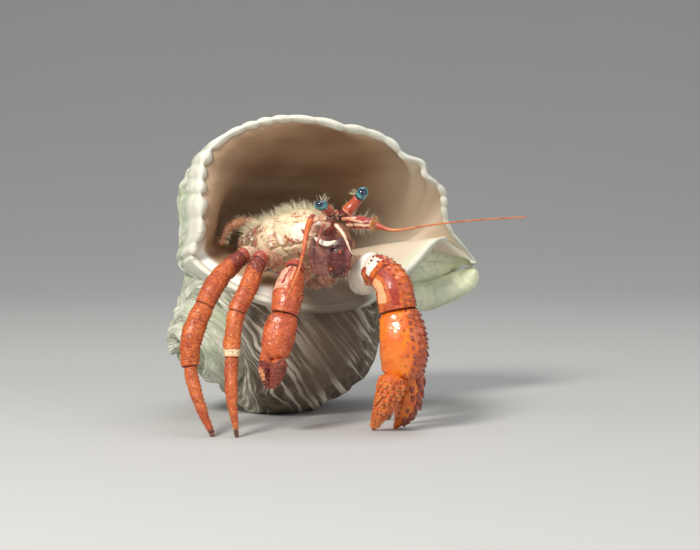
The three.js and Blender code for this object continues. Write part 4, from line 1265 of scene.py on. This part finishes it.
smallLegs = {
    "right": [(-17, -0.6, 56), (-21.6, -1, 56.8), (-26.2, -3.4, 55), (-28.4, -6.2, 50.4)],
    "left": [(-6, -3.4, 55.2), (0, -4.4, 56.4), (5, -6.4, 55), (8, -9, 51)],
    "half": [1, 1.45, 1.4, 0.75], "knees": (4.6, 9.0), "kneeDepth": 0.28, "kneeWidth": 0.35,
}


def kneeLift(s, a, radius):
    # a bell-shaped groove round the leg at each knee
    look = smallLegs
    return -look["kneeDepth"] * sum(np.exp(-((s - knee) / look["kneeWidth"]) ** 2)
                                    for knee in look["knees"])


def buildSmallLegs():
    # the fourth legs, small and curled, which steady the crab against the shell
    for side in ("right", "left"):
        name = "leg_" + side + "_4"
        leg = sweep(smallLegs[side], smallLegs["half"], flat=0.85, rows=110, around=40,
                    startLeast=0.5, endLeast=0.3, endRound=0.8,
                    lift=together(striae(1.0, 0.12, 61), kneeLift))
        pieces[name] = leg
        buildObject(name + "_plate", [platePatch(leg)], materials["curled"], [name])


# Each stalk and ball is its path, its half widths and its depth as a share of its width.
eyeLook = {
    "right": {"stalk": ([(3.5, -26.6, 59.6), (2.6, -30, 60.7), (1.4, -33.7, 61.7)],
                        [1.4, 1.4, 1.5], 0.8),
              "ball": ([(1.5, -33.2, 61.6), (0.8, -35.6, 62.2), (0.25, -37.3, 62.65)],
                       [1.5, 1.95, 1.6], 0.76),
              "depth": upward, "gaze": (-0.25, -0.90, 0.45)},
    "left": {"stalk": ([(6.2, -24, 58.4), (8.8, -24.8, 61.2), (11, -25.4, 63.9)],
                       [1.8, 1.7, 1.4], 1.1),
             "ball": ([(10.8, -25.35, 63.6), (12.1, -25.7, 65.5), (13.1, -26.05, 66.95)],
                      [1.35, 1.65, 1.45], 1.15),
             "depth": backward, "gaze": (0.15, -0.95, 0.35)},
    "scaleWays": [(-1.0, -0.2, 0.1), (0.1, -0.5, 1.0), (0.9, -0.4, 0.2)],
    "scaleLengths": [2.3, 2.6, 2.2], "scaleRadius": 0.75, "scaleOffset": 1.25,
    "facetScale": 5200.0,
    "rim": (0.006, 0.030, 0.060), "iris": (0.010, 0.120, 0.170), "glint": (0.10, 0.36, 0.33),
    "pupil": (0.003, 0.010, 0.034),
}


def eyeMaterial():
    # wet cornea: fine facets, a blue-green ring round a black middle, and a dark rim at the stalk
    look = eyeLook
    material, tree, shader = newMaterial("cornea", 0.14, coat=1.0)
    shader.inputs["Coat Roughness"].default_value = 0.04
    uv = addNode(tree, "ShaderNodeUVMap", {"uv_map": "UVMap"}).outputs[0]
    place = addNode(tree, "ShaderNodeTexCoord").outputs["Object"]
    v = addNode(tree, "ShaderNodeSeparateXYZ", None, i0=uv).outputs[1]
    gaze = attribute(tree, "gaze")
    facets = addNode(tree, "ShaderNodeTexVoronoi", {"feature": "DISTANCE_TO_EDGE"}, Vector=place,
                     Scale=look["facetScale"]).outputs[0]
    cloud = noiseMask(tree, place, 900.0, 0.35, 0.65)
    colour = blend(tree, cloud, look["iris"], look["glint"])
    colour = blend(tree, remap(tree, gaze, 0.45, 0.05), colour, look["rim"])
    colour = blend(tree, remap(tree, gaze, 0.62, 0.92), colour, look["pupil"])
    colour = blend(tree, remap(tree, v, 0.30, 0.16), colour, look["rim"])
    colour = blend(tree, remap(tree, facets, 0.05, 0.0, 0.0, 0.35), colour, look["rim"])
    tree.links.new(colour, shader.inputs["Base Color"])
    bumpInto(tree, shader, facets, 0.00003, 0.4)
    return material


def buildEyes():
    # each eye's stalk, the three pointed scales at its foot, and its ball
    material = eyeMaterial()
    for side in ("right", "left"):
        look = eyeLook[side]
        points, half, flat = look["stalk"]
        stalk = sweep(points, half, flat=flat, rows=60, around=40, depth=look["depth"],
                      startRound=1.0, startLeast=0.7, endRound=0.5, endLeast=0.9,
                      lift=lambda s, a, r: 0.10 * np.cos(s * 1.6 + 0.5))
        pieces["eyestalk_" + side] = stalk
        root, ahead = stalk["middle"][4], stalk["along"][4]
        ways = np.array(eyeLook["scaleWays"])
        plates = spikePatch(root + eyeLook["scaleOffset"] * unit(ways), 0.9 * ahead + 0.5 * unit(ways),
                            ways, eyeLook["scaleLengths"], eyeLook["scaleRadius"], (0.0, 0.5, 0.8),
                            (1.0, 0.85, 0.45), 0.1, sides=10, flat=0.6)
        buildObject("eyestalk_" + side + "_plate", [platePatch(stalk)], materials["stalk"],
                    ["eyestalk_" + side])
        buildObject("eye_scale_" + side, [plates], materials["acicle"], [])
        points, half, flat = look["ball"]
        ball = sweep(points, half, flat=flat, rows=64, around=48, depth=look["depth"],
                     startRound=1.0, startLeast=0.55, endRound=1.9, endLeast=0.03)
        pieces["eye_" + side] = ball
        patch = platePatch(ball)
        outward = unit(patch["points"] - np.mean(ball["middle"], axis=0))
        patch["fields"]["gaze"] = outward @ unit(np.array(look["gaze"]))
        buildObject("eye_" + side + "_cornea", [patch], material, ["eye_" + side])


# The thin and flat limbs of the head: tone, half widths, depth as a share of the width, the way the
# depth lies, path and slot.
feelers = {
    "antenna_left_base": ("feelerBase", [1.5, 1.9, 1.4], 0.8, backward,
                          [(8, -28.6, 57.2), (11, -31.4, 57.4), (15.4, -34, 57)], "maroon_cuticle"),
    "antenna_left_whip": ("feeler", [0.95, 0.44, 0.26, 0.23, 0.21, 0.18], 1, backward,
                          [(15.2, -33.9, 57), (20.4, -36, 55.5), (27.6, -38, 56.5),
                           (35.8, -38, 57.6), (46.7, -36, 58.5), (56.9, -34, 59)], "leg_orange"),
    "antenna_right_base": ("rod", [1.05, 0.9, 0.75], 0.9, (1, 0, 0),
                           [(-1.4, -30, 59), (-2.8, -35.4, 56), (-3.9, -38.8, 49.8)],
                           "maroon_cuticle"),
    "antenna_right_whip": ("feeler", [0.6, 0.35, 0.28, 0.22], 1, (1, 0, 0),
                           [(-3.9, -38.8, 49.8), (-5, -43, 45.2), (-6.6, -48, 41.2),
                            (-8.2, -54, 37.6)], "leg_orange"),
    "antennule_left": ("antennulePale", [0.42, 0.34, 0.26], 1, backward,
                       [(4.6, -32, 57), (6.8, -34.4, 54.4), (9.2, -35.6, 49)], "soft_pink"),
    "antennule_right": ("antennule", [0.36, 0.30, 0.25], 1, backward,
                        [(1.8, -32.4, 57), (0.6, -36, 54.8), (-0.4, -37.6, 50.6)], "soft_pink"),
    "maxilliped_right": ("jawSheenLit", [2.9, 3.3, 2.7], 0.42, backward,
                         [(1.5, -30.8, 53.8), (0.5, -32.1, 48.3), (1.2, -30.4, 42.6)],
                         "maroon_cuticle"),
    "maxilliped_left": ("jaw", [2.9, 3.4, 2.7], 0.46, backward,
                        [(6.1, -30.4, 53.2), (5.9, -31.9, 48), (5.2, -30, 42.2)],
                        "maroon_cuticle"),
}
# Small spikes of the head, each set with its roots, directions, lie, lengths and radii: the tips of
# the inner mouth legs and the antennae's scales.
headSpikes = {
    "tips": ([(3.5, -32.0, 44.6), (7.4, -31.4, 45.4), (6.2, -33.4, 49.4)],
             [(0.1, -1, -0.3), (0.3, -1, -0.2), (0.2, -1, 0.3)],
             [(0, 0, 1.0), (0, 0, 1.0), (1.0, 0, 0)], [1.6, 1.5, 1.3], 0.55),
    "scales": ([(7.4, -30.2, 58.4), (9.0, -32.4, 58.2), (-0.4, -32.0, 58.6)],
               [(1, -0.5, 0.05), (1, -0.35, -0.25), (-0.2, -1, -0.5)],
               [(0, 0, 1.0), (0, 0, 1.0), (0, 0, 1.0)], [6.6, 5.6, 3.4], [0.9, 0.75, 0.9]),
}
mouthBow = {"path": [(-1.4, -33.6, 53.7), (0.6, -34.6, 52.3), (2.7, -34.8, 51.7), (4.9, -34.1, 52.5)],
            "half": [0.35, 0.65, 0.7, 0.3]}


def jawLift(s, a, radius):
    # the joint lines of a folded mouth leg and low lumps over it
    joints = sum(np.exp(-((s - at - 0.3 * np.sin(a)) / 0.3) ** 2) for at in (3.2, 6.6))
    return -0.22 * joints + 0.06 * noise(ringPoints(s, a, radius), 1.6, 64)


def buildFeelers():
    # antennae, antennules and outer mouth legs, then the small pieces round the mouth
    for name, (tone, half, flat, depth, points, slotName) in feelers.items():
        whip, jaw = "whip" in name, "maxilliped" in name
        lift = None if whip else jawLift if jaw else striae(1.3, 0.10, 71)
        piece = sweep(points, half, flat=flat, depth=depth, rows=220 if whip else 80,
                      around=14 if whip else 44, startRound=1.2 if jaw else 0.8,
                      startLeast=0.5 if jaw else 0.72, endRound=1.3 if jaw else 0.6,
                      endLeast=0.35, lift=lift)
        pieces[name] = piece
        buildObject(name + "_plate", [platePatch(piece)], materials[tone], [name])
    roots, ways, lie, length, radius = headSpikes["tips"]
    tips = spikePatch(np.array(roots), np.array(ways), np.array(lie), length, radius,
                      (0.0, 0.5, 0.8), (1.0, 0.9, 0.6), 0.2, sides=10)
    buildObject("mouth_tips", [tips], materials["banded"], [])
    bow = sweep(mouthBow["path"], mouthBow["half"], flat=0.7, rows=50, around=28, startLeast=0.2,
                endLeast=0.2)
    buildObject("mouth_bow", [platePatch(bow)], materials["crescent"], [])
    roots, ways, lie, length, radius = headSpikes["scales"]
    plates = spikePatch(np.array(roots), np.array(ways), np.array(lie), length, radius,
                        (0.0, 0.4, 0.75), (1.0, 0.85, 0.45), 0.05, sides=12, flat=0.6, sunk=0.12)
    buildObject("antenna_scale", [plates], materials["acicle"], [])


buildBody()
buildSmallLegs()
buildEyes()
buildFeelers()
print("stage: body and head")

# Bristles. Each set has a tone and groups, and a group stands on one swept piece: how many, where
# along it and round it (shares of the length, multiples of pi), length and radius in millimetres and
# how far it leans.
bristleLook = {
    "carapace": ("straw", [
        ("carapace", 1150, (0.08, 0.98), (-0.16, 0.30), (2.0, 5.0), 0.038, 0.45),
        ("carapace", 900, (0.04, 0.98), (-0.75, -0.2), (0.6, 1.3), 0.026, 1.0),
        ("abdomen", 900, (0.02, 0.45), (-0.5, 0.5), (1.2, 3.0), 0.034, 0.6),
        ("leg_right_4", 320, (0.1, 0.95), (0.0, 2.0), (1.0, 2.4), 0.034, 0.6)]),
    "head": ("straw", [
        ("eye_right", 16, (0.30, 0.62), (0.30, 0.70), (1.8, 3.2), 0.045, 0.1),
        ("eye_left", 14, (0.15, 0.45), (0.80, 1.15), (1.8, 3.0), 0.045, 0.1),
        ("maxilliped_right", 40, (0.7, 0.98), (0.9, 2.1), (0.8, 1.8), 0.03, 0.5),
        ("maxilliped_left", 40, (0.7, 0.98), (0.9, 2.1), (0.8, 1.8), 0.03, 0.5),
        ("antenna_left_base", 110, (0.1, 0.9), (-0.4, 1.0), (1.4, 3.4), 0.034, 0.4),
        ("antenna_right_base", 60, (0.1, 0.9), (0.0, 2.0), (0.9, 2.0), 0.034, 0.5),
        ("eyestalk_right", 40, (0.0, 0.5), (0.0, 2.0), (0.8, 1.8), 0.03, 0.6),
        ("eyestalk_left", 40, (0.0, 0.6), (0.0, 2.0), (0.8, 1.8), 0.03, 0.6),
        ("mouth", 120, (0.0, 0.9), (0.8, 2.2), (1.2, 2.8), 0.034, 0.4),
        ("chest", 240, (0.0, 0.9), (0.7, 2.0), (0.8, 2.0), 0.034, 0.6),
        ("claw_right_merus", 120, (0.05, 0.95), (0.0, 2.0), (0.8, 1.8), 0.034, 0.6),
        ("claw_left_merus", 120, (0.05, 0.95), (0.4, 1.8), (0.8, 2.2), 0.034, 0.6),
        ("leg_right_2_merus", 150, (0.05, 0.95), (0.0, 2.0), (0.8, 2.0), 0.034, 0.6),
        ("leg_right_3_merus", 150, (0.05, 0.95), (0.0, 2.0), (0.8, 2.0), 0.034, 0.6),
        ("leg_left_2_merus", 90, (0.05, 0.95), (0.0, 2.0), (0.8, 2.0), 0.034, 0.6),
        ("leg_left_3_merus", 90, (0.05, 0.95), (0.0, 2.0), (0.8, 2.0), 0.034, 0.6)]),
    "feeler": ("amber", [
        ("antenna_left_base", 170, (0.90, 0.99), (0.0, 2.0), (1.8, 3.2), 0.05, 1.2)]),
    "legs": ("amber", [
        (limb + "_" + part, number, (0.04, 0.97), (0.0, 2.0), span, 0.03, 1.0)
        for limb in ("leg_right_2", "leg_right_3", "leg_left_2", "leg_left_3")
        for part, number, span in (("carpus", 170, (0.4, 1.0)), ("propodus", 170, (0.4, 1.0)),
                                   ("dactylus", 320, (0.5, 1.3)))]),
    "claws": ("amber", [
        ("claw_left_carpus", 200, (0.1, 0.97), (0.7, 1.4), (0.5, 1.1), 0.03, 0.9),
        ("claw_left_palm", 330, (0.05, 0.9), (0.6, 1.4), (0.5, 1.1), 0.03, 0.9),
        ("claw_left_finger", 200, (0.05, 0.9), (0.0, 2.0), (0.5, 1.0), 0.03, 1.0),
        ("claw_right_carpus", 260, (0.05, 0.97), (0.0, 2.0), (0.5, 1.1), 0.03, 0.9),
        ("claw_right_palm", 320, (0.03, 0.95), (0.0, 2.0), (0.5, 1.1), 0.03, 0.9),
        ("claw_right_finger", 130, (0.05, 0.9), (0.0, 2.0), (0.5, 1.0), 0.03, 1.0)]),
}
bristleTones = {"straw": ((0.60, 0.51, 0.30), (0.86, 0.79, 0.55)),
                "amber": ((0.36, 0.13, 0.045), (0.72, 0.42, 0.18))}


def bristleMaterial(name):
    # two tones, mixed by bristle, and lighter towards the point
    dark, light = bristleTones[name]
    material, tree, shader = newMaterial(name + "Bristle", 0.45)
    colour = blend(tree, attribute(tree, "shade"), dark, light)
    colour = blend(tree, maths(tree, "MULTIPLY", attribute(tree, "tip"), 0.5), colour, light)
    tree.links.new(colour, shader.inputs["Base Color"])
    return material


def bristles(group, cell, cells):
    # Roots at random over the piece, their lengths varied by noise. A bristle's patch on the map lies at
    # its root's own share round and along the piece, in that piece's cell of the sheet.
    name, count, along, turns, span, radius, lean = group
    piece = pieces[name]
    random = np.random.default_rng(seedOf(name) + count)
    s = random.uniform(*along, count) * piece["whole"]
    a = random.uniform(*turns, count) * np.pi
    points, normals, ahead = surfaceAt(piece, s, a)
    length = random.uniform(*span, count) * (0.8 + 0.35 * noise(points, 2.2, 91))
    wild = random.normal(0, 0.22, (count, 3))
    patch = spikePatch(points, normals + 0.55 * lean * ahead + wild, ahead + 0.5 * wild, length,
                       radius, (0.0, 0.55), (1.0, 0.7), 0.28 * lean, sides=3, sunk=0.08,
                       tipStart=0.3)
    side = int(np.ceil(np.sqrt(cells)))
    corner = np.array([cell % side, cell // side]) / side
    root = corner + (0.04 + 0.92 * np.stack([(a / (2 * np.pi)) % 1.0, s / piece["whole"]], -1)) / side
    square = np.array([(-1, -1), (1, -1), (1, 1), (-1, 1)]) * 0.0015
    for key, per in (("quadUv", patch["perQuad"]), ("triUv", patch["perTri"])):
        corners = patch[key].shape[1]
        patch[key] = np.repeat(root, per, axis=0)[:, None] + square[None, :corners]
    return patch


def buildBristles():
    for name, (tone, groups) in bristleLook.items():
        patches = [bristles(group, i, len(groups)) for i, group in enumerate(groups)]
        buildObject("bristles_" + name, patches, bristleMaterial(tone), [],
                    "OFBake")


buildBristles()
print("stage: bristles")

# Metres, degrees and watts. A lamp is its place, the sides of its square, its power and its tint.
stageLook = {
    "floor": (0.50, 0.50, 0.49), "middle": (0, 0, 0.04),
    "elevation": 3.0, "distance": 0.58, "aim": (0.0023, -0.0019, 0.0414), "lens": 102.86,
    "world": 0.38, "worldTint": (0.95, 0.97, 1.0),
    "lamps": {"keyLight": ((-0.34, -0.62, 0.56), 0.22, 7.6, (1.0, 0.96, 0.9)),
              "fillLight": ((0.7, -0.6, 0.35), 0.6, 1.8, (0.92, 0.96, 1.0)),
              "topLight": ((0.1, 0.15, 0.9), 0.6, 2.6, (1.0, 1.0, 1.0))},
}


def buildStage():
    # one sheet of paper: flat under the model and rising behind it in a wide even curve
    depth, half, rise = 0.55, 4.0, 1.6
    turn = np.linspace(0, np.pi / 2, 40)
    bend = np.stack([depth + rise * np.sin(turn), rise * (1 - np.cos(turn))], -1)
    profile = np.concatenate([[[-3.2, 0.0], [0.0, 0.0]], bend, [[depth + rise, 4.0]]])
    count = len(profile)
    points = np.concatenate([np.insert(profile, 0, x, axis=1) for x in (-half, half)])
    i = np.arange(count - 1)
    faces = np.stack([i, count + i, count + i + 1, i + 1], -1)
    floorMesh = bpy.data.meshes.new("floor")
    floorMesh.from_pydata(points.tolist(), [], faces.tolist())
    floorMesh.shade_smooth()
    material, tree, shader = newMaterial("studioPaper", 0.9)
    place = addNode(tree, "ShaderNodeTexCoord").outputs["Object"]
    tint = noiseMask(tree, place, 3.0, 0.3, 0.7)
    colour = blend(tree, tint, stageLook["floor"], tuple(c * 1.02 for c in stageLook["floor"]))
    tree.links.new(colour, shader.inputs["Base Color"])
    floorMesh.materials.append(material)
    floor = bpy.data.objects.new("floor", floorMesh)
    bpy.context.scene.collection.objects.link(floor)


def addLight(name, place, side, power, tint):
    # a square lamp that looks from its place to the middle of the model
    data = bpy.data.lights.new(name, "AREA")
    data.shape = "SQUARE"
    data.size = side
    data.energy = power
    data.color = tint
    lamp = bpy.data.objects.new(name, data)
    lamp.location = place
    aim = np.array(stageLook["middle"]) - np.array(place)
    lamp.rotation_euler = (math.atan2(math.hypot(aim[0], aim[1]), -aim[2]), 0,
                           math.atan2(-aim[0], aim[1]))
    bpy.context.scene.collection.objects.link(lamp)


buildStage()
for lampName, lamp in stageLook["lamps"].items():
    addLight(lampName, *lamp)
world = bpy.data.worlds.new("studio")
world.use_nodes = True
background = world.node_tree.nodes["Background"]
background.inputs[0].default_value = (*stageLook["worldTint"], 1)
background.inputs[1].default_value = stageLook["world"]
bpy.context.scene.world = world
scene = bpy.context.scene
scene.view_settings.view_transform = "Standard"
cameraData = bpy.data.cameras.new("camera")
cameraData.sensor_width = 36.0
cameraData.lens = stageLook["lens"]
cameraData.clip_start = 0.01
camera = bpy.data.objects.new("camera", cameraData)
tilt = math.radians(stageLook["elevation"])
aimAt = np.array(stageLook["aim"])
camera.location = aimAt - stageLook["distance"] * np.array([0, math.cos(tilt), -math.sin(tilt)])
camera.rotation_euler = (math.pi / 2 - tilt, 0, 0)
scene.collection.objects.link(camera)
scene.camera = camera
print("stage: floor, lights and camera")
